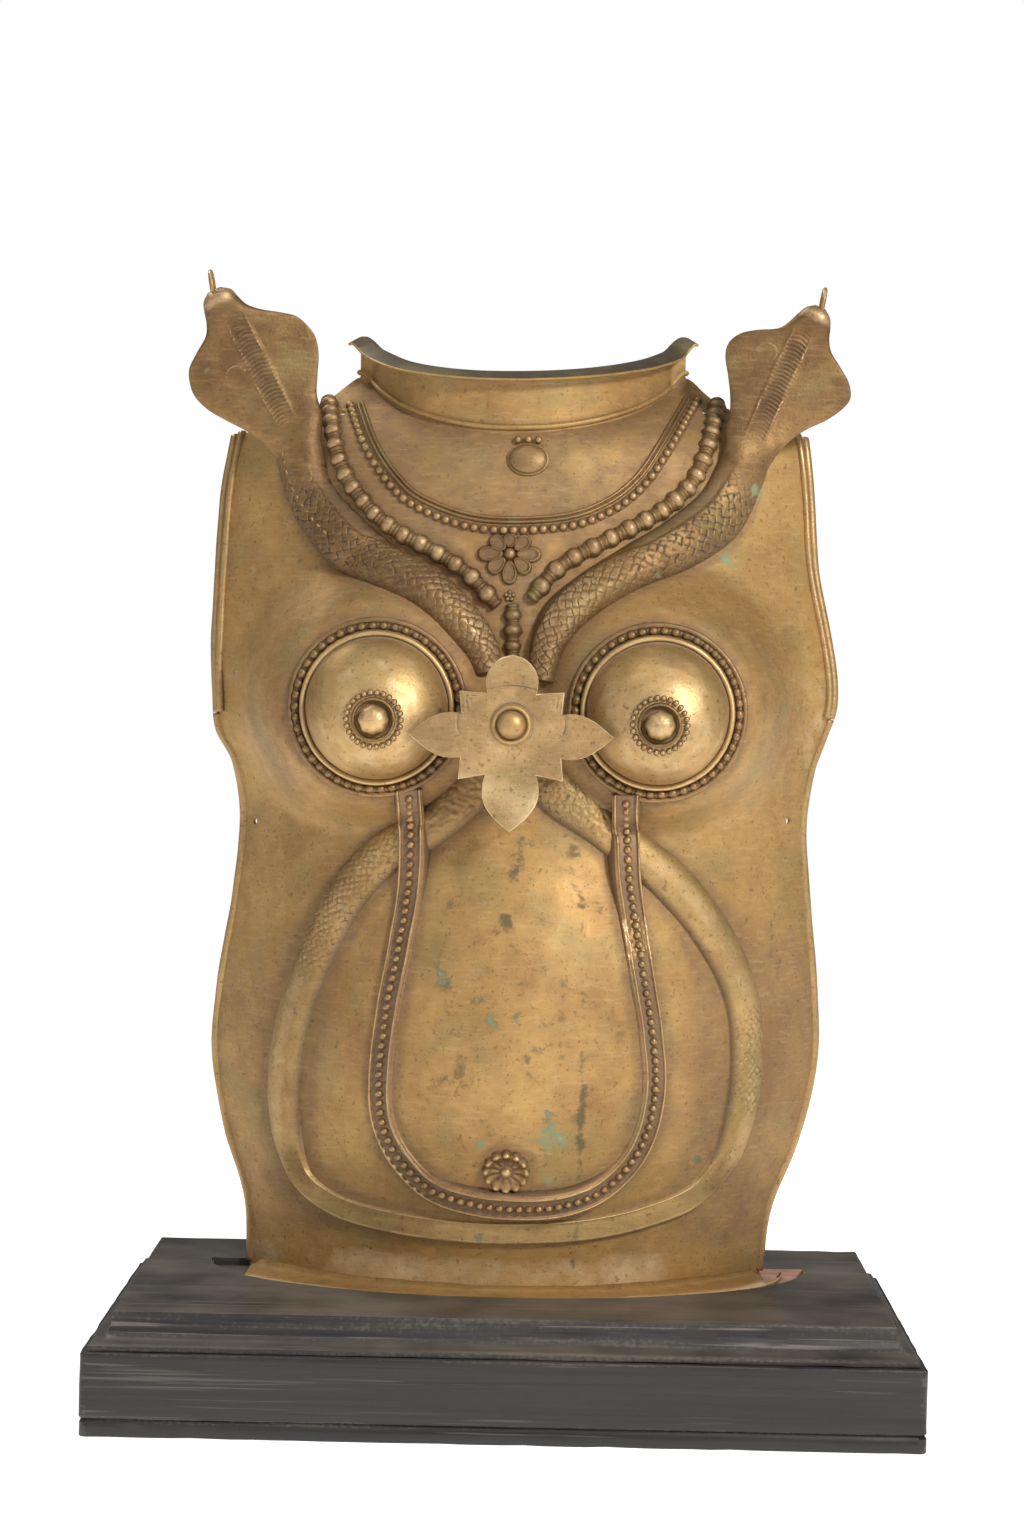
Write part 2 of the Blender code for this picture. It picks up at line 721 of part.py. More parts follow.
def raised_lines():
    rows, _ = smooth_route(SMALL_STRING, 24)
    low, half, top, step = -LINE_RISE, LINE_HALF, LINE_RISE, LINE_STEP
    section = (
        (-half - step, low),
        (-0.6 * half - step, top),
        (-step, 0.4 * top),
        (0.6 * half - step, top),
        (half - step, low),
    )
    band("neckline_rolls", rows, section, WORN_BRASS)
    points = [on_plate(row.across, row.height, 0.2 * SMALL_BEAD) for row in rows]
    string = wire("small_bead_string", points, SMALL_BEAD * 0.9, 1, BRASS)
    cut(string, BEHIND)


def bead_string(name, route):
    """Large round beads with a thin disc between each two, as one cast string."""
    _, length = smooth_route(route, 8)
    beads = max(round(length / LARGE_PITCH), 2)
    rows, _ = smooth_route(route, beads * 3 + 1)
    points = []
    radii = []
    for i, row in enumerate(rows):
        points.append(on_plate(row.across, row.height, 0.25 * LARGE_BEAD))
        radii.append(LARGE_DISC if i % 3 == 0 else LARGE_BEAD)
    made = wire(name, points, radii, 2, BRASS)
    cut(made, BEHIND)


def flat_flower(name, across, height, radius, petals, steps, tuck, rise):
    """A rosette of round petals with a boss, seated on the plate, its upper petals shorter by tuck."""
    middle = on_plate(across, height)
    facing = plate_normal(middle.x, middle.z)
    right = Vector((0, 0, 1)).cross(-facing).normalized()
    up = facing.cross(-right).normalized()
    count = petals * steps

    def ring(share, lift, scallop):
        found = []
        for i in range(count):
            turn = 2 * math.pi * i / count
            wave = abs(math.cos(petals * turn / 2))
            reach = radius * share * (1 - scallop * (1 - wave)) * (1 - tuck * max(math.sin(turn), 0) ** 2)
            found.append(middle + facing * lift + right * reach * math.cos(turn) + up * reach * math.sin(turn))
        return found

    rings = [
        ring(1.0, -2 * rise, 0.28),
        ring(0.92, 0.8 * rise, 0.28),
        ring(0.34, 0.5 * rise, 0.0),
        ring(0.20, 1.2 * rise, 0.0),
    ]
    made = loft(name, rings, BRASS)
    cut(made, BEHIND)


def collar_pendant():
    middle = on_plate(0.018, 0.912)
    facing = plate_normal(middle.x, middle.z)
    right = Vector((0, 0, 1)).cross(-facing).normalized()
    up = facing.cross(-right).normalized()
    rings = []
    for share, lift in ((1.0, -1.0), (1.0, 0.25), (0.75, 0.75), (0.35, 1.0)):
        ring = []
        for i in range(14):
            turn = 2 * math.pi * i / 14
            reach = PENDANT_RADIUS * share
            spot = middle + facing * lift * PENDANT_RISE
            ring.append(spot + right * reach * math.cos(turn) + up * reach * math.sin(turn))
        rings.append(ring)
    disc = loft("collar_pendant", rings, WORN_BRASS)
    bead = PENDANT_RADIUS / 5
    top = middle + up * (PENDANT_RADIUS + 0.5 * bead) + facing * 0.3 * bead
    points = []
    radii = []
    for i in range(10):
        points.append(top + right * bead * 0.68 * (i - 4.5))
        radii.append(bead * (0.6, 1.0, 1.0)[i % 3])
    beads = wire("pendant beads", points, radii, 1)
    cut(disc, beads, "UNION")
    cut(disc, BEHIND)


def neck_collar():
    """The standing collar: foot moulding, wall and outward lip, following the plate's upper edge."""
    stations = 12
    rings = []
    for i in range(stations + 1):
        across = COLLAR_ENDS * (2 * i / stations - 1)
        share = smooth_value(TOP_EDGE, "height", across)
        x = across * half_width(share, across)
        z = FOOT + share * PLATE_RISE
        y = plate_y(x, z)
        outward = Vector((x, y - NECK_BACK, 0)).normalized()
        up = Vector((0, -COLLAR_LEAN, 1)).normalized()
        base = Vector((x, y, z)) + up * GAP
        ends = abs(across) / COLLAR_ENDS
        rise = COLLAR_RISE - COLLAR_END_DROP * ends**2
        drop = COLLAR_LIP_DROP * (1 - 0.3 * ends)
        foot = COLLAR_FOOT
        section = (
            (0.0, 0.0),
            (0.75 * foot, 0.2 * foot),
            (foot, 0.9 * foot),
            (0.6 * foot, 1.6 * foot),
            (0.0, 1.9 * foot),
            (0.0, rise - 1.6 * WALL),
            (COLLAR_LIP, rise - drop - 0.9 * WALL),
            (COLLAR_LIP + 0.1 * WALL, rise - drop),
            (0.1 * COLLAR_LIP, rise),
            (-WALL, rise - 0.2 * WALL),
            (-WALL, 0.0),
        )
        rings.append([base + outward * o + up * u for o, u in section])
    collar = loft("neck_collar", rings, BRASS)
    cut(collar, AROUND)


def hood_rings(side, crown):
    """Sections of the head and hood from the crown down to the neck."""
    neck = on_plate(crown.neck_across, crown.neck_height)
    neck.y = HOOD_PLACE
    top = on_plate(crown.crown_across, crown.crown_height)
    top.y = neck.y - crown.lean
    axis = top - neck
    outward = Vector((-axis.z, 0, axis.x)).normalized()
    if outward.x * side < 0:
        outward = -outward
    forward = Vector((0, -1, 0))
    label = "left" if side < 0 else "right"
    rings = []
    for row in reversed(HOOD_SECTIONS):
        out = HOOD_HALF * getattr(row, f"{label}_out")
        inn = HOOD_HALF * getattr(row, f"{label}_in")
        middle = neck + axis * row.along + outward * (out - inn) / 2
        strip = neck + axis * row.along
        rings.append(snake_section(middle, outward, forward, (out + inn) / 2, HEAD_RISE * row.thick,
                                   (strip - middle).dot(outward), STRIP_RISE * row.strip))
    return rings


def snake_section(middle, across, facing, half, rise, strip_at=0.0, strip_rise=0.0):
    """One flat oval section of a snake, with the raised strip down its front."""
    strip = min(STRIP_HALF, 0.45 * half)
    room = 0.66 * half - strip
    strip_at = min(max(strip_at, -room), room)
    places = (-1.0, -0.70)
    front = [(place * half, 0.0) for place in places]
    front += [(strip_at - strip, 0.0), (strip_at - 0.8 * strip, strip_rise)]
    front += [(strip_at + 0.8 * strip, strip_rise), (strip_at + strip, 0.0)]
    front += [(-place * half, 0.0) for place in reversed(places)]
    ring = []
    for a, more in front:
        share = min(abs(a / half), 1.0)
        ring.append(middle + across * a + facing * (rise * (1 - share**2.6) ** 0.5 + more))
    for a in (0.65, -0.65):
        ring.append(middle + across * a * half - facing * rise * (1 - abs(a) ** 2.6) ** 0.5)
    return ring


def head_loop(side, label, crown, cobra):
    """The wire loop let into the crown of a cobra's head."""
    top = on_plate(crown.crown_across, crown.crown_height)
    middle = Vector((top.x + side * LOOP_ASIDE, HOOD_PLACE - crown.lean, top.z + LOOP_LIFT))
    up = Vector((side * 0.16, 0, 1)).normalized()
    points = []
    for i in range(10):
        turn = 2 * math.pi * (i + 0.5) / 10
        points.append(middle + up * LOOP_HEIGHT / 2 * math.sin(turn) + Vector((0, LOOP_RADIUS * math.cos(turn), 0)))
    wire(f"head_loop_{label}", points, LOOP_WIRE, 1, BRASS, cyclic=True)
    cut(cobra, wire(f"loop groove {label}", points, LOOP_WIRE + GAP, 1, cyclic=True))


def cobras():
    for side, label, crown, body in (
        (-1, "left", CROWN_LEFT, COBRA_BODY_LEFT),
        (1, "right", CROWN_RIGHT, COBRA_BODY_RIGHT),
    ):
        rings = hood_rings(side, crown)
        rows, _ = smooth_route(body, 12)
        for i, (row, frame) in enumerate(zip(rows, route_frames(rows))):
            spot, across, facing = frame
            if across.dot(Vector((side, 0, 0))) < 0 and i < 6:
                across = -across
            if i and across.dot(held) < 0:
                across = -across
            held = across
            middle = spot.lerp(Vector((spot.x, HOOD_PLACE, spot.z)), ease(1 - i / 4))
            rings.append(
                snake_section(middle, across, facing, BODY_HALF * row.width, BODY_RISE * row.rise)
            )
        cobra = loft(f"cobra_{label}", rings, BROWN_BRASS, roughness=0.5)
        cut(cobra, BEHIND)
        head_loop(side, label, crown, cobra)


def snake_tails_rings(grow, deep):
    rows, _ = smooth_route(SNAKE_TAILS, 36)
    rings = []
    for row, (spot, across, facing) in zip(rows, route_frames(rows)):
        half = TAIL_HALF * row.width + grow
        rise = TAIL_RISE * row.rise + grow
        ring = []
        for a in (-1.0, -0.62, 0.0, 0.62, 1.0):
            ring.append(spot + across * a * half + facing * rise * (1 - abs(a) ** 2.4) ** 0.5)
        ring.append(spot + across * half + Vector((0, deep, 0)))
        ring.append(spot - across * half + Vector((0, deep, 0)))
        rings.append(ring)
    return rings


def snake_tails():
    body = loft("snake_tails", snake_tails_rings(0.0, TAIL_DEPTH), BRASS, roughness=0.45)
    cut(body, BEHIND)
    return loft("round snake tails", snake_tails_rings(STRAP_CLEARANCE, 3 * TAIL_DEPTH))


def near_route(spot, rows, reach):
    """How close a point is to a route, from 0 at the reach to 1 on the route."""
    line = [on_plate(row.across, row.height) for row in rows]
    closest = reach
    for a, b in zip(line, line[1:]):
        share = min(max((spot - a).dot(b - a) / (b - a).length_squared, 0), 1)
        closest = min(closest, (spot - a.lerp(b, share)).length)
    return ease(1 - closest / reach)


def belly_strap(snake_cutter):
    rows, _ = smooth_route(BELLY_STRAP, 36)
    under, _ = smooth_route(SNAKE_TAILS, 36)
    frames = []
    laid = route_frames(rows)
    for i, (spot, across, _) in enumerate(laid):
        facing = sum((near[2] for near in laid[max(i - 4, 0):i + 5]), Vector()).normalized()
        over = (TAIL_RISE + STRAP_CLEARANCE) * near_route(spot, under, 2.8 * TAIL_HALF)
        frames.append((spot + facing * over, across, facing, over))
    half, rail, floor = STRAP_HALF, STRAP_RAIL, STRAP_FLOOR
    rings = []
    beads = []
    for spot, across, facing, over in frames:
        section = (
            (-0.88 * half, rail),
            (-0.62 * half, floor),
            (0.0, floor),
            (0.62 * half, floor),
            (0.88 * half, rail),
        )
        back = Vector((0, STRAP_DEPTH + over, 0))
        tops = [spot + across * a + facing * f for a, f in section]
        rings.append([spot - across * half + back] + tops + [spot + across * half + back])
        bead = STRAP_BEAD
        low = floor + 4 * GAP
        section = (
            (-0.9 * bead, low),
            (-0.6 * bead, low + 0.9 * bead),
            (0.6 * bead, low + 0.9 * bead),
            (0.9 * bead, low),
        )
        beads.append([spot + across * a + facing * f for a, f in section])
    strap = loft("belly_strap", rings, WORN_BRASS)
    cut(strap, snake_cutter)
    cut(strap, BEHIND)
    row = loft("strap_beads", beads, WORN_BRASS)
    cut(row, BEHIND)


def dome_point(turn, radius, rise):
    return radius * math.sin(turn), rise * math.cos(turn)


def cups():
    """Each cup: a thin dome with a rolled rim and a skirt back to the plate, its bead rings and stud."""
    for side, label in ((-1, "left"), (1, "right")):
        x, z = cup_place(side)
        centre = Vector((x, -CUP_PLANE - CUP_STAND, z))
        lean = (side * CUP_TURN_OUT, -CUP_DROP)
        radius, rim = CUP_RADIUS, CUP_RIM
        turns = [math.radians(a) for a in (0, 20, 38, 56, 74)]
        outer = [dome_point(t, radius, CUP_RISE) for t in turns]
        inner = [dome_point(t, radius - WALL, CUP_RISE - WALL) for t in reversed(turns[::2])]
        skirt = radius + rim
        profile = outer + [
            (radius + 0.2 * rim, 0.0),
            (radius + 0.6 * rim, 0.5 * rim),
            (skirt, 0.0),
            (skirt, -0.014),
            (radius - WALL, -0.014),
        ] + inner
        cup = turned(f"cup_{label}", profile, 18, centre, BRASS, lean, CUP_RISE, roughness=0.35)
        cut(cup, BEHIND)
        ring = skirt + GAP + CUP_BEAD
        wire(
            f"cup_beads_{label}",
            [Vector((x + ring * math.cos(t), -CUP_PLANE - 2 * GAP - CUP_BEAD, z + ring * math.sin(t)))
             for t in (2 * math.pi * i / 20 for i in range(20))],
            CUP_BEAD * 0.97, 1, BRASS, cyclic=True,
        )
        turn = math.asin(NIPPLE_RING / radius)
        r, f = dome_point(turn, radius, CUP_RISE)
        off = NIPPLE_BEAD + 2 * GAP
        middle = centre + Vector((lean[0], 0, lean[1])) * f / CUP_RISE
        normal = Vector((r / radius**2, f / CUP_RISE**2)).normalized()
        r, f = r + off * normal.x, f + off * normal.y
        wire(
            f"nipple_beads_{label}",
            [middle + Vector((r * math.cos(t), -f, r * math.sin(t)))
             for t in (2 * math.pi * i / 12 for i in range(12))],
            NIPPLE_BEAD, 1, BRASS, cyclic=True,
        )
        tip = centre + Vector((lean[0], -CUP_RISE - GAP, lean[1]))
        s, h = STUD_RADIUS, STUD_RISE
        profile = [(0, h), (0.45 * s, 0.95 * h), (0.85 * s, 0.68 * h), (s, 0.38 * h), (0.8 * s, 0.12 * h),
                   (0.8 * s, 0.0), (0, 0)]
        turned(f"nipple_stud_{label}", profile, 8, tip, WORN_BRASS, roughness=0.35)


def star_outline():
    """The flower's outline, turning from the right lobe anticlockwise, in metres."""
    corners = [(x * STAR_CORNER[0], y * STAR_CORNER[1]) for x, y in ((1, 1), (-1, 1), (-1, -1), (1, -1))]
    lobes = (STAR_SIDE_LOBE, STAR_TOP_LOBE, STAR_SIDE_LOBE, STAR_FOOT_LOBE)
    points = []
    for quarter, lobe in enumerate(lobes):
        turn = quarter * math.pi / 2
        half = [(along, -aside) for along, aside in lobe]
        outline = half + [(along, aside) for along, aside in reversed(lobe[:-1])]
        for along, aside in outline:
            points.append((
                STAR_REACH * (along * math.cos(turn) - aside * math.sin(turn)),
                STAR_REACH * (along * math.sin(turn) + aside * math.cos(turn)) - STAR_DROP,
            ))
        x, y = corners[quarter]
        points.append((STAR_REACH * x, STAR_REACH * y - STAR_DROP))
    return points


def star_flower():
    middle = on_plate(-0.016, 0.625)
    front = Vector((middle.x, -STAR_BACK - STAR_THICKNESS / 2, middle.z))
    curve = bpy.data.curves.new("star_flower", "CURVE")
    curve.dimensions = "2D"
    curve.fill_mode = "BOTH"
    curve.extrude = STAR_THICKNESS / 2
    outline = star_outline()
    line = curve.splines.new("POLY")
    line.points.add(len(outline) - 1)
    line.use_cyclic_u = True
    for i, (x, y) in enumerate(outline):
        line.points[i].co = (x, y, 0, 1)
    flat = bpy.data.objects.new("star outline", curve)
    bpy.context.scene.collection.objects.link(flat)
    flat.rotation_euler = (math.pi / 2, 0, 0)
    flat.location = front
    bpy.context.view_layer.update()
    flower = place_object("star_flower", as_mesh(flat), WORN_BRASS, roughness=0.42)
    stud, post = STAR_STUD, STAR_POST
    drill = turned("star hole", [(0, 0.02), (post + 2 * GAP, 0.02), (post + 2 * GAP, -0.02), (0, -0.02)], 10, front)
    cut(flower, drill)
    seat = Vector((middle.x, -STAR_BACK, middle.z))
    face = STAR_THICKNESS + GAP
    reach = STAR_BACK + middle.y
    profile = [
        (0, face + stud),
        (0.5 * stud, face + 0.92 * stud),
        (0.95 * stud, face + 0.55 * stud),
        (0.85 * stud, face + 0.12 * stud),
        (1.5 * stud, face + 0.10 * stud),
        (1.5 * stud, face),
        (post, face),
        (post, -GAP),
        (1.5 * post, -GAP),
        (1.5 * post, -reach - 0.02),
        (0, -reach - 0.02),
    ]
    boss = turned("star_stud", profile, 10, seat, WORN_BRASS, roughness=0.38)
    cut(boss, BEHIND)


def oval(half, reach, back, low, high, steps, right_share=1.0):
    """Rings of a half oval lying flat, its straight side at the back."""
    def ring(z):
        points = []
        for i in range(steps + 1):
            turn = math.pi * i / steps
            x = half * math.cos(turn) * (right_share if math.cos(turn) > 0 else 1.0)
            points.append(Vector((x, back - reach * math.sin(turn), z)))
        return points
    return [ring(low), ring(high)]


def foot_flange():
    low = FOOT
    rings = oval(SEAT_HALF_WIDTH - SEAT_CLEARANCE, SEAT_REACH - 2 * SEAT_CLEARANCE,
                 SEAT_BACK - SEAT_CLEARANCE, low, low + FLANGE_THICKNESS, 26, 0.93)
    flange = loft("foot_flange", rings, BRASS, smooth=False)
    cut(flange, BEHIND)


def plinth():
    """Slab with a groove near its foot, and the stepped board on it with the seat for the plate."""
    slab_x, slab_y = BOARD_WIDTH / 2 + SLAB_STEP, BOARD_DEPTH / 2 + SLAB_STEP_DEEP

    def frame(inset, z):
        points = []
        x, y, r = slab_x - inset, slab_y - inset, SLAB_CORNER
        for cx, cy, start in ((1, 1, 0), (-1, 1, 90), (-1, -1, 180), (1, -1, 270)):
            for k in range(3):
                turn = math.radians(start + 45 * k)
                points.append(Vector((cx * (x - r) + r * math.cos(turn), cy * (y - r) + r * math.sin(turn), z)))
        return points

    groove = GROOVE_HEIGHT
    rings = [
        frame(GROOVE_DEPTH, 0.0),
        frame(0.0, GROOVE_DEPTH),
        frame(0.0, groove - GROOVE_DEPTH),
        frame(GROOVE_DEPTH, groove),
        frame(0.0, groove + GROOVE_DEPTH),
        frame(0.0, SLAB_HEIGHT - GAP - GROOVE_DEPTH),
        frame(GROOVE_DEPTH, SLAB_HEIGHT - GAP),
    ]
    loft("plinth_slab", rings, BLACK_PAINT, smooth=False, metallic=0.0, roughness=0.45)

    def board(x, y, z):
        return [Vector((sx * x, sy * y, z)) for sx, sy in ((1, 1), (-1, 1), (-1, -1), (1, -1))]

    x, y = BOARD_WIDTH / 2, BOARD_DEPTH / 2
    cove = BOARD_HEIGHT - BOARD_EDGE
    rings = [board(x + LEDGE_STEP, y + LEDGE_STEP_DEEP, SLAB_HEIGHT),
             board(x + LEDGE_STEP, y + LEDGE_STEP_DEEP, SLAB_HEIGHT + 0.25 * cove)]
    for k in range(1, 5):
        turn = math.radians(90 * k / 4)
        out = 0.75 * (1 - math.sin(turn)) + 0.1
        up = SLAB_HEIGHT + cove * (0.25 + 0.7 * (1 - math.cos(turn)))
        rings.append(board(x + out * LEDGE_STEP, y + out * LEDGE_STEP_DEEP, up))
    rings += [
        board(x, y, SLAB_HEIGHT + cove),
        board(x, y, BOARD_TOP - 0.001),
        board(x - 0.001, y - 0.001, BOARD_TOP),
    ]
    top = loft("plinth_top_board", rings, BLACK_PAINT, smooth=False, metallic=0.0, roughness=0.5)
    seat = loft("seat", oval(SEAT_HALF_WIDTH, SEAT_REACH, SEAT_BACK, BOARD_TOP - SEAT_DEPTH,
                             BOARD_TOP + SEAT_DEPTH, 26))
    cut(top, seat)


plinth()
chest_shell()
side_borders()
foot_flange()
neck_collar()
raised_lines()
bead_string("necklace_left", NECKLACE_LEFT)
bead_string("necklace_right", NECKLACE_RIGHT)
bead_string("necklace_stem", NECKLACE_STEM)
collar_pendant()
for rosette in ROSETTES:
    flat_flower(*rosette, ROSETTE_RISE)
cobras()
belly_strap(snake_tails())
cups()
star_flower()
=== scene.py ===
import math
from collections import namedtuple

import bmesh
import bpy
import numpy as np
from mathutils import Matrix, Vector, noise
from mathutils.kdtree import KDTree


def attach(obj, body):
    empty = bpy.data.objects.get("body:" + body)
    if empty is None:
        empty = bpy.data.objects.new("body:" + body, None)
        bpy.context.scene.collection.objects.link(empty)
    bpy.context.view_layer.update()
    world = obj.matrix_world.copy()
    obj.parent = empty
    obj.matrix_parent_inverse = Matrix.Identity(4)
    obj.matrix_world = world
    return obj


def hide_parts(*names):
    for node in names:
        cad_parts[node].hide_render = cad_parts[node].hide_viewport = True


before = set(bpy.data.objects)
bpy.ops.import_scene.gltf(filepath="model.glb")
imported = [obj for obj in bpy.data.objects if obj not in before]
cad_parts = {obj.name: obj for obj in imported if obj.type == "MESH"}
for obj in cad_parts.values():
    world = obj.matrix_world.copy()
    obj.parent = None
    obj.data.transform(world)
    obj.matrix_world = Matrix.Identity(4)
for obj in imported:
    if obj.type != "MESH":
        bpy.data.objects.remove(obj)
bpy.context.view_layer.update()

bpy.context.scene.view_settings.view_transform = "Standard"


# The photograph's viewpoint. A long lens stands two metres before the plate at the height of
# the cups and looks slightly down, held about a degree off level.
PHOTO_WIDTH, PHOTO_HEIGHT = 1024, 1536
PIXELS_PER_UNIT = 3280.0
SENSOR = 36
EYE = np.array((0.0116, -2.0245, 0.4470))
YAW, PITCH, ROLL = (math.radians(angle) for angle in (-0.4084, 1.7079, 1.1296))
look = np.array((math.sin(YAW) * math.cos(PITCH), math.cos(YAW) * math.cos(PITCH), -math.sin(PITCH)))
level = np.array((math.cos(YAW), -math.sin(YAW), 0.0))
rise = np.cross(level, look)
aside = math.cos(ROLL) * level + math.sin(ROLL) * rise
upward = -math.sin(ROLL) * level + math.cos(ROLL) * rise
bpy.ops.object.camera_add()
camera = bpy.context.object
camera.name = "camera"
camera.data.sensor_width = SENSOR
camera.data.lens = PIXELS_PER_UNIT * SENSOR / PHOTO_HEIGHT
camera.matrix_world = Matrix([[aside[i], upward[i], -look[i], EYE[i]] for i in range(3)] + [[0, 0, 0, 1]])
bpy.context.scene.camera = camera


# The slab of the plinth: a thick softwood board, planed, its corners barely rounded, with a
# groove run near its foot, then painted black and brushed out. The paint is worn off its arrises.
SLAB_SIZE = Vector((0.490, 0.293, 0.0487))
SLAB_CORNER = 0.004
SLAB_GROOVE = (0.0086, 0.0100, 0.0114)
SLAB_GROOVE_DEPTH = 0.0016
SLAB_ARRIS = 0.0010
SLAB_SLICES = (0.0045, 0.0150, 0.030, SLAB_SIZE.z - 0.0040)
SLAB_ENDS, SLAB_SIDES = 0.2405, 0.1420
SLICE = 0.012
RUBBED_REACH = 0.0026
OUT_OF_TRUE = 0.0009
EDGE_BAND = 1e-4


def clear():
    """Object mode, with nothing selected."""
    if bpy.context.object and bpy.context.object.mode != "OBJECT":
        bpy.ops.object.mode_set(mode="OBJECT")
    bpy.ops.object.select_all(action="DESELECT")


def pick(kind, test):
    """In edit mode, selects only the vertices, edges or faces whose middle passes the test."""
    bpy.ops.mesh.select_mode(type=kind)
    bpy.ops.mesh.select_all(action="DESELECT")
    mesh = bpy.context.object.data
    work = bmesh.from_edit_mesh(mesh)
    for item in {"VERT": work.verts, "EDGE": work.edges, "FACE": work.faces}[kind]:
        corners = [item] if kind == "VERT" else item.verts
        if test(sum((corner.co for corner in corners), Vector()) / len(corners)):
            item.select_set(True)
    work.select_flush_mode()
    bmesh.update_edit_mesh(mesh)


def slice_at(axis, places):
    """Cuts the whole mesh across one axis at each place, as with a saw, and keeps both sides."""
    for place in places:
        bpy.ops.mesh.select_all(action="SELECT")
        point, facing = [0, 0, 0], [0, 0, 0]
        point[axis], facing[axis] = place, 1
        bpy.ops.mesh.bisect(plane_co=point, plane_no=facing)


def face_outward():
    """Turns every face of the active piece outward."""
    bpy.ops.object.mode_set(mode="EDIT")
    bpy.ops.mesh.select_all(action="SELECT")
    bpy.ops.mesh.normals_make_consistent(inside=False)
    bpy.ops.object.mode_set(mode="OBJECT")


def uneven(places, scale=1.0):
    """Smooth noise at each place, between about -1 and 1."""
    return np.array([noise.noise(Vector(place) * scale) for place in places])


def linear(code):
    """An sRGB hex colour as linear red, green, blue and alpha."""
    shares = [int(code[i:i + 2], 16) / 255 for i in (1, 3, 5)]
    return [c / 12.92 if c <= 0.04045 else ((c + 0.055) / 1.055) ** 2.4 for c in shares] + [1.0]


def node(tree, kind, inputs=None, **settings):
    """Adds a node, with its settings, and its sockets set to values or linked from other sockets."""
    made = tree.nodes.new("ShaderNode" + kind)
    for name, value in settings.items():
        setattr(made, name, value)
    for socket, value in (inputs or {}).items():
        if isinstance(value, bpy.types.NodeSocket):
            tree.links.new(value, made.inputs[socket])
        else:
            made.inputs[socket].default_value = value
    return made


def surface(name):
    """A new material: itself, its nodes, its shader, and the place on the piece that it reads."""
    made = bpy.data.materials.new(name)
    made.use_nodes = True
    tree = made.node_tree
    return made, tree, tree.nodes["Principled BSDF"], node(tree, "TexCoord").outputs["Object"]


def finished(piece, name, finish, *stands_for):
    """Gives a piece its name, surface and body, and hides the solids that it stands for."""
    clear()
    piece.data.transform(piece.matrix_world)
    piece.matrix_world = Matrix.Identity(4)
    piece.name = name
    piece.data.name = name
    piece.data.materials.clear()
    piece.data.materials.append(finish)
    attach(piece, "root")
    if stands_for:
        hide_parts(*stands_for)


def mark(piece, name, values):
    """Stores one number for each vertex, which the piece's surface reads."""
    layer = piece.data.attributes.get(name) or piece.data.attributes.new(name, "FLOAT", "POINT")
    layer.data.foreach_set("value", np.clip(np.asarray(values, dtype=np.float32).ravel(), 0, 1))


def corners_of(piece):
    """The places of a piece's vertices, as rows of an array."""
    found = np.empty(len(piece.data.vertices) * 3)
    piece.data.vertices.foreach_get("co", found)
    return found.reshape(-1, 3)


def set_corners(piece, places):
    """Moves a piece's vertices to new places."""
    piece.data.vertices.foreach_set("co", np.asarray(places).ravel())
    piece.data.update()


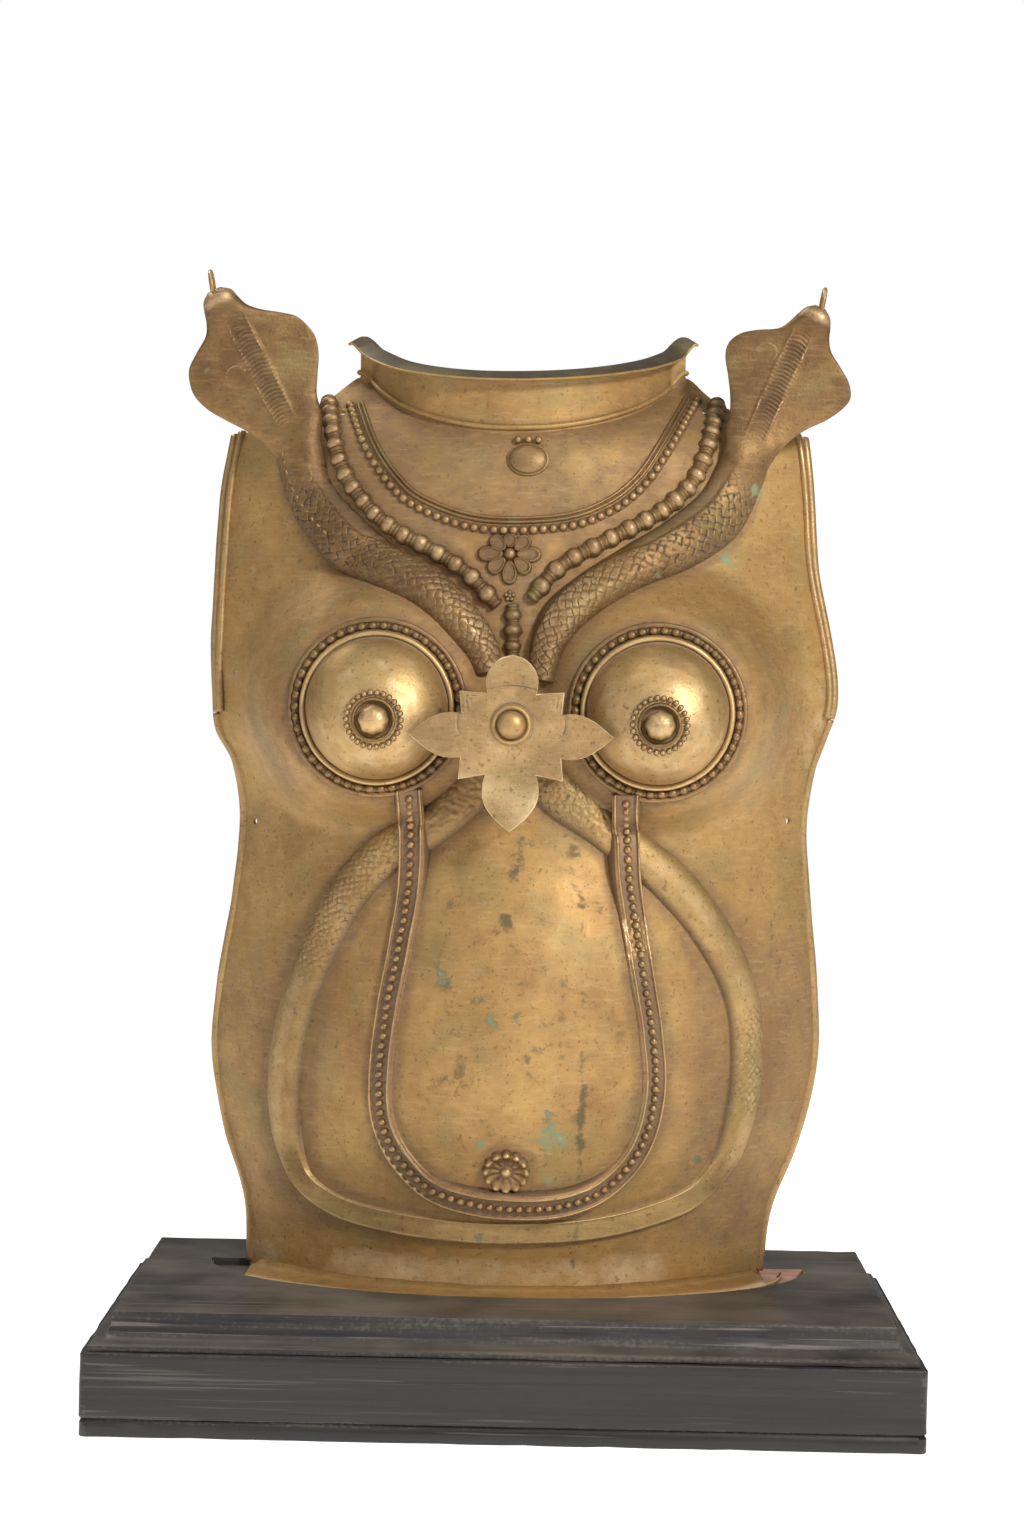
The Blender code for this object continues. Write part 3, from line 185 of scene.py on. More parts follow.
# Black paint over planed softwood, satin from old wax: brush marks run along the boards, the
# top has gone grey-brown with scratches, and tan wood shows where the arrises are rubbed.
def painted_wood(name, black, worn):
    made, tree, shader, place = surface(name)
    stretched = node(tree, "Mapping", {"Vector": place, "Scale": (5, 60, 210)}).outputs["Vector"]
    streak = node(tree, "TexNoise", {"Vector": stretched, "Scale": 1.0, "Detail": 6, "Roughness": 0.62,
                                     "Distortion": 0.5}).outputs["Fac"]
    patch = node(tree, "TexNoise", {"Vector": place, "Scale": 17, "Detail": 4}).outputs["Fac"]
    fleck = node(tree, "TexNoise", {"Vector": place, "Scale": 420, "Detail": 3}).outputs["Fac"]
    scratched = node(tree, "Mapping", {"Vector": place, "Rotation": (0, 0, 0.12),
                                       "Scale": (7, 340, 340)}).outputs["Vector"]
    scratch = node(tree, "TexNoise", {"Vector": scratched, "Scale": 1.0, "Detail": 2,
                                      "Distortion": 0.3}).outputs["Fac"]
    facing = node(tree, "NewGeometry").outputs["Normal"]
    up = node(tree, "SeparateXYZ", {"Vector": facing}).outputs["Z"]
    top = node(tree, "MapRange", {"Value": up, "From Min": 0.6, "From Max": 0.95}).outputs["Result"]
    shade = node(tree, "ValToRGB", {"Fac": streak})
    for stop, at, tint in zip(shade.color_ramp.elements, (0.30, 0.68), black):
        stop.position = at
        stop.color = linear(tint)
    dusty = node(tree, "MapRange", {"Value": patch, "From Min": 0.30, "From Max": 0.68}).outputs["Result"]
    dusty = node(tree, "Math", {0: dusty, 1: top}, operation="MULTIPLY").outputs[0]
    line = node(tree, "MapRange", {"Value": scratch, "From Min": 0.64, "From Max": 0.72,
                                   "To Max": 0.55}).outputs["Result"]
    arris = node(tree, "Attribute", attribute_name="arris").outputs["Fac"]
    broken = node(tree, "Math", {0: streak, 1: 0.75, 2: arris}, operation="MULTIPLY_ADD").outputs[0]
    broken = node(tree, "Math", {0: fleck, 1: 0.5, 2: broken}, operation="MULTIPLY_ADD").outputs[0]
    rubbed = node(tree, "MapRange", {"Value": broken, "From Min": 1.62, "From Max": 1.90,
                                     "To Max": 0.55}).outputs["Result"]
    colour = shade.outputs["Color"]
    for share, tint in ((dusty, black[2]), (line, black[3]), (rubbed, worn)):
        colour = node(tree, "Mix", {"Factor": share, 6: colour, 7: linear(tint)}, data_type="RGBA").outputs[2]
    gloss = node(tree, "MapRange", {"Value": streak, "From Min": 0.3, "From Max": 0.7, "To Min": 0.34,
                                    "To Max": 0.58}).outputs["Result"]
    height = node(tree, "Math", {0: fleck, 1: 0.25, 2: streak}, operation="MULTIPLY_ADD").outputs[0]
    bump = node(tree, "Bump", {"Height": height, "Strength": 0.55, "Distance": 0.0006}).outputs["Normal"]
    for socket, value in (("Base Color", colour), ("Roughness", gloss), ("Normal", bump)):
        tree.links.new(value, shader.inputs[socket])
    shader.inputs["IOR"].default_value = 1.5
    return made


def mark_arrises(piece, reach):
    """Marks how near each vertex is to an arris: the edges where two flat faces meet."""
    work = bmesh.new()
    work.from_mesh(piece.data)
    sharp = [v for v in work.verts if any(len(e.link_faces) == 2 and e.calc_face_angle() > 0.25
                                          for e in v.link_edges)]
    tree = KDTree(len(sharp))
    for i, vertex in enumerate(sharp):
        tree.insert(vertex.co, i)
    tree.balance()
    mark(piece, "arris", [max(0.0, 1 - tree.find(v.co)[2] / reach) for v in work.verts])
    work.free()


def weathered(piece, size):
    """Knocks the faces and arrises a little out of true, as on an old board."""
    clear()
    places = corners_of(piece)
    normals = np.empty(len(places) * 3)
    piece.data.vertices.foreach_get("normal", normals)
    arris = np.array([item.value for item in piece.data.attributes["arris"].data])
    shift = np.array([noise.noise(Vector(place) / size) + 0.5 * noise.noise(Vector(place) * 3 / size)
                      for place in places])
    shift = OUT_OF_TRUE * np.where(shift > 0, shift * 0.4, shift) * (0.35 + 0.65 * arris)
    set_corners(piece, places + normals.reshape(-1, 3) * np.minimum(shift, 0)[:, None])


clear()
bpy.ops.mesh.primitive_cube_add(size=1, location=(0, 0, SLAB_SIZE.z / 2), scale=SLAB_SIZE)
slab = bpy.context.object
bpy.ops.object.transform_apply(location=True, rotation=True, scale=True)
bpy.ops.object.mode_set(mode="EDIT")
pick("EDGE", lambda m: abs(m.x) > SLAB_SIZE.x / 2 - EDGE_BAND and abs(m.y) > SLAB_SIZE.y / 2 - EDGE_BAND)
bpy.ops.mesh.bevel(offset=SLAB_CORNER, segments=3, affect="EDGES")
slice_at(2, SLAB_GROOVE)
pick("VERT", lambda m: abs(m.z - SLAB_GROOVE[1]) < EDGE_BAND)
narrowed = [1 - 2 * SLAB_GROOVE_DEPTH / size for size in SLAB_SIZE.xy]
bpy.ops.transform.resize(value=(*narrowed, 1))
pick("EDGE", lambda m: m.z < EDGE_BAND or m.z > SLAB_SIZE.z - EDGE_BAND)
bpy.ops.mesh.bevel(offset=SLAB_ARRIS, segments=2, affect="EDGES")
slice_at(2, SLAB_SLICES)
slice_at(0, [SLICE * k for k in range(-20, 21)] + [-SLAB_ENDS, SLAB_ENDS])
slice_at(1, [SLICE * k for k in range(-11, 12)] + [-SLAB_SIDES, SLAB_SIDES])
bpy.ops.object.mode_set(mode="OBJECT")
mark_arrises(slab, RUBBED_REACH)
weathered(slab, 0.013)
slab.data.shade_smooth()
slab.data.set_sharp_from_angle(angle=math.radians(50))
SLAB_PAINT = painted_wood("black_painted_slab", ("#111010", "#282624", "#3C3936", "#5A554F"), "#6F665D")
finished(slab, "slab_wood", SLAB_PAINT, "plinth_slab")


# The stepped board on the slab: one board with a cove worked round its edge and a fillet above
# it, glued down and painted with the slab, and a shallow half-oval seat cut for the plate's foot.
BOARD_STEPS = (
    (0.2410, 0.1410, 0.0490),
    (0.2410, 0.1410, 0.0518),
    (0.2396, 0.1392, 0.0528),
    (0.2352, 0.1332, 0.0536),
    (0.2322, 0.1292, 0.0552),
    (0.2304, 0.1268, 0.0576),
    (0.2300, 0.1262, 0.0600),
    (0.2290, 0.1250, 0.0614),
    (0.2290, 0.1250, 0.0680),
    (0.2284, 0.1244, 0.0690),
    (0.2272, 0.1232, 0.0694),
)
SEAT_HALF = 0.188
SEAT_REACH = 0.114
SEAT_BACK = 0.054
SEAT_FLOOR = 0.0646
SEAT_CUT = 0.012
BARE_FROM = 0.150
BARE_FRONT = -0.02


def cut_by(piece, cutter):
    """Cuts one piece away by another, which is then gone."""
    clear()
    bpy.context.view_layer.objects.active = piece
    cut = piece.modifiers.new("cut", "BOOLEAN")
    cut.object = cutter
    cut.operation = "DIFFERENCE"
    cut.solver = "EXACT"
    bpy.ops.object.modifier_apply(modifier="cut")
    bpy.data.objects.remove(cutter)


clear()
bpy.ops.mesh.primitive_plane_add(size=2, location=(0, 0, BOARD_STEPS[0][2]))
board = bpy.context.object
bpy.ops.object.mode_set(mode="EDIT")
bpy.ops.mesh.select_all(action="SELECT")
bpy.ops.transform.resize(value=(BOARD_STEPS[0][0], BOARD_STEPS[0][1], 1))
for (x, y, z), (next_x, next_y, next_z) in zip(BOARD_STEPS, BOARD_STEPS[1:]):
    bpy.ops.mesh.extrude_region_move(TRANSFORM_OT_translate={"value": (0, 0, next_z - z)})
    bpy.ops.transform.resize(value=(next_x / x, next_y / y, 1))
slice_at(0, [SLICE * k for k in range(-19, 20)] + [-0.2255, 0.2255, -0.2370, 0.2370])
slice_at(1, [SLICE * k for k in range(-11, 12)] + [-0.1215, 0.1215, -0.1370, 0.1370])
face_outward()
mark_arrises(board, RUBBED_REACH)
weathered(board, 0.015)

bpy.ops.mesh.primitive_circle_add(vertices=96, radius=1, fill_type="NGON",
                                  location=(0, SEAT_BACK, SEAT_FLOOR))
seat = bpy.context.object
bpy.ops.object.mode_set(mode="EDIT")
bpy.ops.mesh.bisect(plane_co=(0, SEAT_BACK + 1e-4, 0), plane_no=(0, 1, 0), clear_outer=True)
bpy.ops.mesh.select_all(action="SELECT")
bpy.ops.transform.resize(value=(SEAT_HALF, SEAT_REACH, 1), center_override=(0, SEAT_BACK, 0))
bpy.ops.mesh.extrude_region_move(TRANSFORM_OT_translate={"value": (0, 0, SEAT_CUT)})
slice_at(0, [BARE_FROM])
face_outward()
cut_by(board, seat)
board.data.shade_smooth()
board.data.set_sharp_from_angle(angle=math.radians(40))
BOARD_PAINT = painted_wood("black_painted_board", ("#1E1D1B", "#393532", "#625B52", "#7E756A"), "#7F7364")
finished(board, "board_wood", BOARD_PAINT, "plinth_top_board")

# Bare softwood where the seat was cut longer than the plate, pinkish and dull from dust.
BARE_WOOD, tree, shader, place = surface("bare_pink_softwood")
stretched = node(tree, "Mapping", {"Vector": place, "Scale": (60, 700, 700)}).outputs["Vector"]
streak = node(tree, "TexNoise", {"Vector": stretched, "Scale": 1.0, "Detail": 4}).outputs["Fac"]
grain = node(tree, "Mix", {"Factor": streak, 6: linear("#7A5E50"), 7: linear("#C9A28E")}, data_type="RGBA")
tree.links.new(grain.outputs[2], shader.inputs["Base Color"])
shader.inputs["Roughness"].default_value = 0.8
board.data.materials.append(BARE_WOOD)
for cut in board.data.polygons:
    at = cut.center
    inside = BARE_FROM < at.x < SEAT_HALF + 0.001 and BARE_FRONT < at.y < SEAT_BACK + 0.002
    if inside and SEAT_FLOOR - 0.0002 < at.z < BOARD_STEPS[-2][2] - 0.0005:
        cut.material_index = 1


# The chest plate itself: one brass sheet two millimetres thick, beaten out from behind into the
# bust and belly, its upper edge cut to the neck and shoulders, drilled with four small tie holes.
FOOT = 0.0647
PLATE_HALF = 0.190
PLATE_RISE = 0.560
PLATE_DEPTH = 0.080
PLATE_BOW = 2.4
WALL = 0.002
CUP_ACROSS = 0.443 * PLATE_HALF
CUP_UP = FOOT + 0.640 * PLATE_RISE
CUP_PLANE = 0.056
CUP_EDGE = 0.0514
MOUND_SKIRT = 0.034
BELLY_SWELL = 0.022
BELLY_HALF_WIDTH = 0.125
BELLY_HALF_HEIGHT = 0.165
BELLY_UP = FOOT + 0.257 * PLATE_RISE

# Height as a share of the plate's rise, both half widths, and how far the side edges lie back
# and the middle forward.
Section = namedtuple("Section", "height left right back front")
PLATE_SECTIONS = (
    Section(0.000, 0.860, 0.840, 0.60, 0.38),
    Section(0.080, 0.872, 0.868, 0.60, 0.50),
    Section(0.160, 0.945, 0.955, 0.60, 0.64),
    Section(0.250, 0.990, 1.010, 0.60, 0.72),
    Section(0.330, 0.972, 1.003, 0.58, 0.72),
    Section(0.420, 0.930, 0.975, 0.55, 0.64),
    Section(0.515, 0.905, 0.953, 0.52, 0.55),
    Section(0.575, 0.935, 0.975, 0.50, 0.52),
    Section(0.610, 0.990, 1.010, 0.50, 0.51),
    Section(0.650, 1.003, 1.045, 0.50, 0.50),
    Section(0.700, 1.010, 1.035, 0.50, 0.49),
    Section(0.800, 1.000, 0.975, 0.50, 0.42),
    Section(0.880, 0.985, 0.955, 0.50, 0.32),
    Section(0.940, 0.955, 0.935, 0.52, 0.18),
    Section(1.000, 0.930, 0.910, 0.78, -0.42),
)
Edge = namedtuple("Edge", "across height")
TOP_EDGE = (
    Edge(-1.00, 0.938),
    Edge(-0.84, 0.956),
    Edge(-0.70, 0.977),
    Edge(-0.58, 1.008),
    Edge(-0.50, 0.986),
    Edge(-0.38, 0.962),
    Edge(-0.20, 0.946),
    Edge(0.00, 0.9425),
    Edge(0.20, 0.950),
    Edge(0.38, 0.968),
    Edge(0.50, 0.990),
    Edge(0.58, 1.014),
    Edge(0.70, 0.984),
    Edge(0.84, 0.965),
    Edge(1.00, 0.947),
)
TIE_HOLES = ((-0.862, 0.508), (0.898, 0.520), (-0.592, 0.964), (0.590, 0.974))
TIE_HOLE_RADIUS = 0.0020


def column(rows, name, places):
    """Reads one column of a table at many places, along a smooth curve through its rows."""
    keys = np.array([row[0] for row in rows])
    values = np.array([getattr(row, name) for row in rows])
    slopes = np.empty(len(keys))
    slopes[1:-1] = (values[2:] - values[:-2]) / (keys[2:] - keys[:-2])
    slopes[0] = (values[1] - values[0]) / (keys[1] - keys[0])
    slopes[-1] = (values[-1] - values[-2]) / (keys[-1] - keys[-2])
    places = np.asarray(places, dtype=float)
    i = np.clip(np.searchsorted(keys, places, side="right") - 1, 0, len(keys) - 2)
    step = keys[i + 1] - keys[i]
    s = np.clip((places - keys[i]) / step, 0, 1)
    return ((2 * s**3 - 3 * s**2 + 1) * values[i] + (s**3 - 2 * s**2 + s) * slopes[i] * step
            + (3 * s**2 - 2 * s**3) * values[i + 1] + (s**3 - s**2) * slopes[i + 1] * step)


def ease(share):
    """A share held between 0 and 1, with soft ends."""
    share = np.clip(share, 0, 1)
    return share * share * (3 - 2 * share)


def half_width(height, side):
    """Half the plate's width at a height, on the left where the side is negative."""
    return PLATE_HALF * np.where(side < 0, column(PLATE_SECTIONS, "left", height),
                                 column(PLATE_SECTIONS, "right", height))


def plate_y(x, z):
    """Front face of the plate: a bowed section, swelling under the cups and over the belly."""
    height = (z - FOOT) / PLATE_RISE
    back = PLATE_DEPTH * column(PLATE_SECTIONS, "back", height)
    front = PLATE_DEPTH * column(PLATE_SECTIONS, "front", height)
    across = np.minimum(np.abs(x) / half_width(height, x), 1.15)
    y = back - (back + front) * (1 - across**PLATE_BOW)
    for side in (-1, 1):
        reach = np.hypot(x - side * CUP_ACROSS, z - CUP_UP)
        outward = (side * (x - side * CUP_ACROSS) + 0.6 * (z - CUP_UP)) / (reach + CUP_EDGE)
        skirt = MOUND_SKIRT * (1 + 0.55 * outward)
        y = y + (-CUP_PLANE - y) * ease((CUP_EDGE + skirt - reach) / skirt)
    belly = np.hypot(x / BELLY_HALF_WIDTH, (z - BELLY_UP) / BELLY_HALF_HEIGHT)
    return y - BELLY_SWELL * ease(1 - belly)


def plate_facing(x, z):
    """Outward directions of the plate's front face."""
    step = 0.001
    across = (plate_y(x + step, z) - plate_y(x - step, z)) / (2 * step)
    up = (plate_y(x, z + step) - plate_y(x, z - step)) / (2 * step)
    found = np.stack([across, -np.ones_like(across), up], axis=-1)
    return found / np.linalg.norm(found, axis=-1, keepdims=True)


def on_plate(across, height):
    """Points on the plate, given as shares of its half width and rise."""
    x = np.asarray(across, dtype=float) * PLATE_HALF
    z = FOOT + np.asarray(height, dtype=float) * PLATE_RISE
    return np.stack([x, plate_y(x, z), z], axis=-1)


def under_pixel(px, py):
    """The point of the plate that shows at a pixel of the photograph."""
    ray = (look + aside * (px - PHOTO_WIDTH / 2) / PIXELS_PER_UNIT
           - upward * (py - PHOTO_HEIGHT / 2) / PIXELS_PER_UNIT)
    y = -0.05
    for _ in range(25):
        spot = EYE + ray * (y - EYE[1]) / ray[1]
        y = 0.5 * y + 0.5 * float(plate_y(spot[0], spot[2]))
    return spot


def sheet_point(across, up):
    """Points of the sheet's front: across from -1 to 1, up from 0 at the foot to 1 at the upper edge."""
    height = up * column(TOP_EDGE, "height", across)
    x = across * half_width(height, across)
    z = FOOT + height * PLATE_RISE
    return np.stack([x, plate_y(x, z), z], axis=-1)


# Old cast and beaten brass, handled for a century: honey brass where hands rub it, umber in the
# sheltered places, grey-mauve dust beside the ornaments and green salts where damp has stood.
Layer = namedtuple("Layer", "blotch_share reads none full most colour")


def old_brass(name, bright, body, brown, grime, gloss, mottle, grain, metal=0.70):
    made, tree, shader, place = surface(name)
    looks_at = {
        "cloud": (place, {"Scale": 13, "Detail": 4, "Roughness": 0.6}),
        "blotch": (place, {"Scale": 85, "Detail": 6, "Roughness": 0.65, "Distortion": 0.4}),
        "pit": (place, {"Scale": 620, "Detail": 2}),
        "speck": (place, {"Scale": 290, "Detail": 3}),
        "rubbed": ({"Rotation": (0, 0.7, 0), "Scale": (90, 90, 560)}, {"Scale": 1.0, "Detail": 3}),
        "olive": ({"Location": (3.1, 0.7, 1.9)}, {"Scale": 27, "Detail": 5}),
    }
    value = {}
    for pattern, (where, settings) in looks_at.items():
        if where is not place:
            where = node(tree, "Mapping", {"Vector": place, **where}).outputs["Vector"]
        value[pattern] = node(tree, "TexNoise", {"Vector": where, **settings}).outputs["Fac"]
    for layer in ("wear", "stain", "salts"):
        value[layer] = node(tree, "Attribute", attribute_name=layer).outputs["Fac"]

    # Each layer shows where what it reads, broken up by the blotches, goes from none to full. Where the
    # wear value holds painted shade, the dusty and sunk layers paint it dark; where it holds painted
    # light, the edge layer paints it bright.
    low = 0.775 - 0.30 * (mottle - 0.5)
    layers = {
        "browned": Layer(0.55, "cloud", low - 0.16, low + 0.20, 0.85, brown),
        "olive": Layer(0.0, "olive", 0.50, 0.68, 0.50, "#87794C"),
        "edge": Layer(0.5, "wear", 0.86, 1.22, 1.0, bright),
        "dusty": Layer(0.55, "wear", 0.62, 0.28, 1.0, grime),
        "sunk": Layer(0.0, "wear", 0.15, 0.02, 0.85, "#33281C"),
        "streak": Layer(0.0, "rubbed", 0.52, 0.72, 0.12, bright),
        "dull streak": Layer(0.0, "rubbed", 0.44, 0.28, 0.16, brown),
        "speck": Layer(0.0, "speck", 0.62, 0.72, 0.50, "#5A4526"),
        "pit": Layer(0.0, "pit", 0.64, 0.74, 0.60, "#4B3A24"),
        "spotted": Layer(2.4, "stain", 1.66, 2.00, 0.80, "#57503A"),
        "greened": Layer(2.4, "salts", 1.62, 1.95, 0.80, "#7F8B6B"),
        "fresh": Layer(0.9, "salts", 1.22, 1.36, 0.9, "#7F9C76"),
    }
    colour, shows = linear(body), {}
    for key, layer in layers.items():
        read = value[layer.reads]
        if layer.blotch_share:
            read = node(tree, "Math", {0: value["blotch"], 1: layer.blotch_share, 2: read},
                        operation="MULTIPLY_ADD").outputs[0]
        shows[key] = node(tree, "MapRange", {"Value": read, "From Min": layer.none, "From Max": layer.full,
                                             "To Max": layer.most}).outputs["Result"]
        colour = node(tree, "Mix", {"Factor": shows[key], 6: colour, 7: linear(layer.colour)},
                      data_type="RGBA").outputs[2]

    # Dirt and salts, and the painted shade, cover the metal and dull it. Rubbed edges and painted
    # light shine, and pits and blotches are felt.
    dust_and_shade_cover = 0.0
    for layer, share in (("dusty", 0.6), ("sunk", 0.5), ("spotted", 0.5)):
        dust_and_shade_cover = node(tree, "Math", {0: shows[layer], 1: share, 2: dust_and_shade_cover},
                       operation="MULTIPLY_ADD").outputs[0]
    dust_and_shade_cover = node(tree, "Math", {0: dust_and_shade_cover, 1: shows["greened"]}, operation="MAXIMUM").outputs[0]
    metallic = node(tree, "MapRange", {"Value": dust_and_shade_cover, "To Min": metal, "To Max": 0.04}).outputs["Result"]
    dull, height = gloss, value["pit"]
    for term, share in ((shows["edge"], -0.12), (shows["browned"], 0.10), (dust_and_shade_cover, 0.45),
                        (value["rubbed"], 0.12)):
        dull = node(tree, "Math", {0: term, 1: share, 2: dull}, operation="MULTIPLY_ADD").outputs[0]
    for term, share in ((value["blotch"], 1.0), (value["rubbed"], 0.6)):
        height = node(tree, "Math", {0: term, 1: share, 2: height}, operation="MULTIPLY_ADD").outputs[0]
    bump = node(tree, "Bump", {"Height": height, "Strength": 0.28 * grain,
                               "Distance": 0.0005}).outputs["Normal"]
    for socket, link in (("Base Color", colour), ("Metallic", metallic), ("Roughness", dull),
                         ("Normal", bump)):
        tree.links.new(link, shader.inputs[socket])
    return made


SHEET_BRASS = old_brass("beaten_sheet_brass", "#E0C79E", "#B28E56", "#8C683C", "#72563F", 0.47, 0.5, 1.0, 0.5)
CAST_BRASS = old_brass("cast_brass_relief", "#CBA97A", "#99784F", "#6E5337", "#745D4D", 0.42, 0.65, 1.5)
BROWN_BRASS = old_brass("browned_cast_brass", "#D2B389", "#957448", "#62482E", "#6B5848", 0.43, 0.85, 1.8)
ROLL_BRASS = old_brass("rubbed_rolled_brass", "#D6B688", "#B29061", "#8A6C47", "#837163", 0.36, 0.45, 1.2)

# Stains: spots at a pixel of the photograph with their reach in pixels, how dark and how green.
SPOT_SPREAD = 0.00072
RUN_SPREAD = 0.0009
Spot = namedtuple("Spot", "px py reach stain salts")
SPOTS = (
    Spot(440, 968, 9, 0.70, 0.45), Spot(446, 985, 7, 0.65, 0.30), Spot(477, 1000, 8, 0.62, 0.25),
    Spot(491, 1020, 7, 0.62, 0.50), Spot(515, 1016, 6, 0.62, 0.40), Spot(549, 1137, 12, 0.2, 0.85),
    Spot(560, 1139, 8, 0.2, 0.85), Spot(547, 1112, 6, 0.6, 0.55), Spot(505, 918, 9, 0.72, 0.0),
    Spot(518, 917, 4, 0.62, 0.0), Spot(453, 934, 5, 0.55, 0.3), Spot(528, 1060, 8, 0.68, 0.0),
    Spot(540, 1050, 9, 0.72, 0.0), Spot(562, 1057, 5, 0.66, 0.4), Spot(457, 1090, 9, 0.58, 0.2),
    Spot(443, 1080, 7, 0.5, 0.1), Spot(483, 1145, 6, 0.4, 0.65), Spot(547, 1181, 6, 0.4, 0.72),
    Spot(520, 860, 8, 0.55, 0.0), Spot(530, 845, 6, 0.55, 0.0), Spot(572, 850, 8, 0.62, 0.2),
    Spot(571, 870, 7, 0.62, 0.2), Spot(574, 890, 6, 0.58, 0.1), Spot(566, 838, 7, 0.5, 0.2),
    Spot(600, 930, 4, 0.6, 0.0), Spot(574, 965, 5, 0.6, 0.1), Spot(478, 1236, 6, 0.6, 0.5),
    Spot(757, 492, 8, 0.3, 0.85), Spot(726, 560, 6, 0.3, 0.85), Spot(655, 575, 4, 0.3, 0.85),
    Spot(690, 619, 5, 0.5, 0.5), Spot(520, 487, 5, 0.62, 0.0), Spot(501, 500, 5, 0.55, 0.2),
    Spot(347, 908, 6, 0.4, 0.72), Spot(340, 918, 5, 0.4, 0.6), Spot(412, 800, 6, 0.2, 0.72),
    Spot(620, 803, 5, 0.2, 0.75), Spot(440, 824, 5, 0.4, 0.6), Spot(432, 770, 7, 0.3, 0.5),
    Spot(315, 1010, 6, 0.5, 0.3), Spot(300, 560, 5, 0.5, 0.0), Spot(700, 1160, 7, 0.5, 0.2),
    Spot(450, 905, 4, 0.5, 0.2), Spot(497, 1175, 4, 0.4, 0.3), Spot(760, 800, 4, 0.5, 0.0),
)
# Runs that damp has left below the spots, from their top pixel to their lowest.
Run = namedtuple("Run", "top_x top_y low_x low_y reach stain")
RUNS = (
    Run(581, 895, 583, 1075, 3.0, 0.52), Run(583, 1075, 579, 1178, 3.6, 0.66),
    Run(579, 1195, 573, 1272, 3.4, 0.58), Run(547, 1070, 545, 1130, 5.0, 0.45),
    Run(470, 1000, 452, 1110, 6.0, 0.36), Run(505, 960, 500, 1060, 5.0, 0.32),
    Run(522, 838, 512, 880, 5.0, 0.48), Run(533, 1060, 565, 1040, 5.0, 0.50),
    Run(355, 1095, 350, 1180, 4.0, 0.30),
)
spots = [(under_pixel(spot.px, spot.py), spot.reach * SPOT_SPREAD, spot.stain, spot.salts) for spot in SPOTS]
runs = [(under_pixel(run.top_x, run.top_y), under_pixel(run.low_x, run.low_y), run.reach * RUN_SPREAD,
         run.stain) for run in RUNS]


def stained(places):
    """How strongly places are stained dark and green, from 0 to 1, by the spots and runs."""
    stain, salts = np.zeros(len(places)), np.zeros(len(places))
    for middle, reach, dark, green in spots:
        fall = np.exp(-0.8 * (np.linalg.norm((places - middle) * (1, 0.25, 1), axis=1) / reach) ** 2)
        stain, salts = np.maximum(stain, dark * fall), np.maximum(salts, green * fall)
    for high, low, reach, dark in runs:
        line = low - high
        share = np.clip((places - high) @ line / (line @ line), 0, 1)
        offset = (places - high - share[:, None] * line) * (1, 0.25, 1)
        stain = np.maximum(stain, dark * np.exp(-0.8 * (np.linalg.norm(offset, axis=1) / reach) ** 2))
    return stain, salts


# The sheet is a grid draped over the plate's shape, cut finer where its surface is stained.
BEATEN_DEPTH = 0.0005
clear()
bpy.ops.mesh.primitive_grid_add(x_subdivisions=124, y_subdivisions=180, size=2)
sheet = bpy.context.object
bpy.ops.object.mode_set(mode="EDIT")
bpy.ops.mesh.select_mode(type="FACE")
bpy.ops.mesh.select_all(action="DESELECT")
work = bmesh.from_edit_mesh(sheet.data)
centres = np.array([face.calc_center_median() for face in work.faces])
found = sheet_point(centres[:, 0], (centres[:, 1] + 1) / 2)
for face, dark in zip(work.faces, np.maximum(*stained(found))):
    face.select_set(bool(dark > 0.12))
bmesh.update_edit_mesh(sheet.data)
bpy.ops.mesh.subdivide(number_cuts=3)
bpy.ops.object.mode_set(mode="OBJECT")
flat = corners_of(sheet)
draped = sheet_point(flat[:, 0], (flat[:, 1] + 1) / 2)
beaten = uneven(draped, 22) + 0.5 * uneven(draped, 55)
edge_share = ease((1 - np.abs(flat[:, 0])) * 12)
draped += plate_facing(draped[:, 0], draped[:, 2]) * (BEATEN_DEPTH * beaten * edge_share)[:, None]
set_corners(sheet, draped)
face_outward()
if sheet.data.polygons[len(sheet.data.polygons) // 2].normal.y > 0:
    sheet.data.flip_normals()
wall = sheet.modifiers.new("wall", "SOLIDIFY")
wall.thickness = WALL
wall.offset = -1
wall.use_quality_normals = True
bpy.ops.object.modifier_apply(modifier="wall")
for across, height in TIE_HOLES:
    spot = on_plate(across, height)
    facing = Vector(plate_facing(spot[0], spot[2]))
    clear()
    bpy.ops.mesh.primitive_cylinder_add(vertices=20, radius=TIE_HOLE_RADIUS, depth=6 * WALL, location=spot,
                                        rotation=facing.to_track_quat("Z", "Y").to_euler())
    cut_by(sheet, bpy.context.object)
sheet.data.shade_smooth()
sheet.data.set_sharp_from_angle(angle=math.radians(50))
finished(sheet, "chest_sheet", SHEET_BRASS, "chest_shell")


# The rolled border of the sheet: its side edge is turned over a wire, one roll from the foot to
# the waist and a second roll beside it round the armhole, rubbed bright along the ridge.
ROLL_RADIUS = 0.0031
ROLL_SPACING = 0.0058
CORNER = 15.4 / 23
SEATED = 0.0694 + 0.0003 - FOOT


def built(name, points, edges, faces):
    """A new piece from its points, edges and faces, active and selected."""
    mesh = bpy.data.meshes.new(name)
    mesh.from_pydata(points, edges, faces)
    mesh.shade_smooth()
    made = bpy.data.objects.new(name, mesh)
    bpy.context.scene.collection.objects.link(made)
    clear()
    bpy.context.view_layer.objects.active = made
    made.select_set(True)
    return made


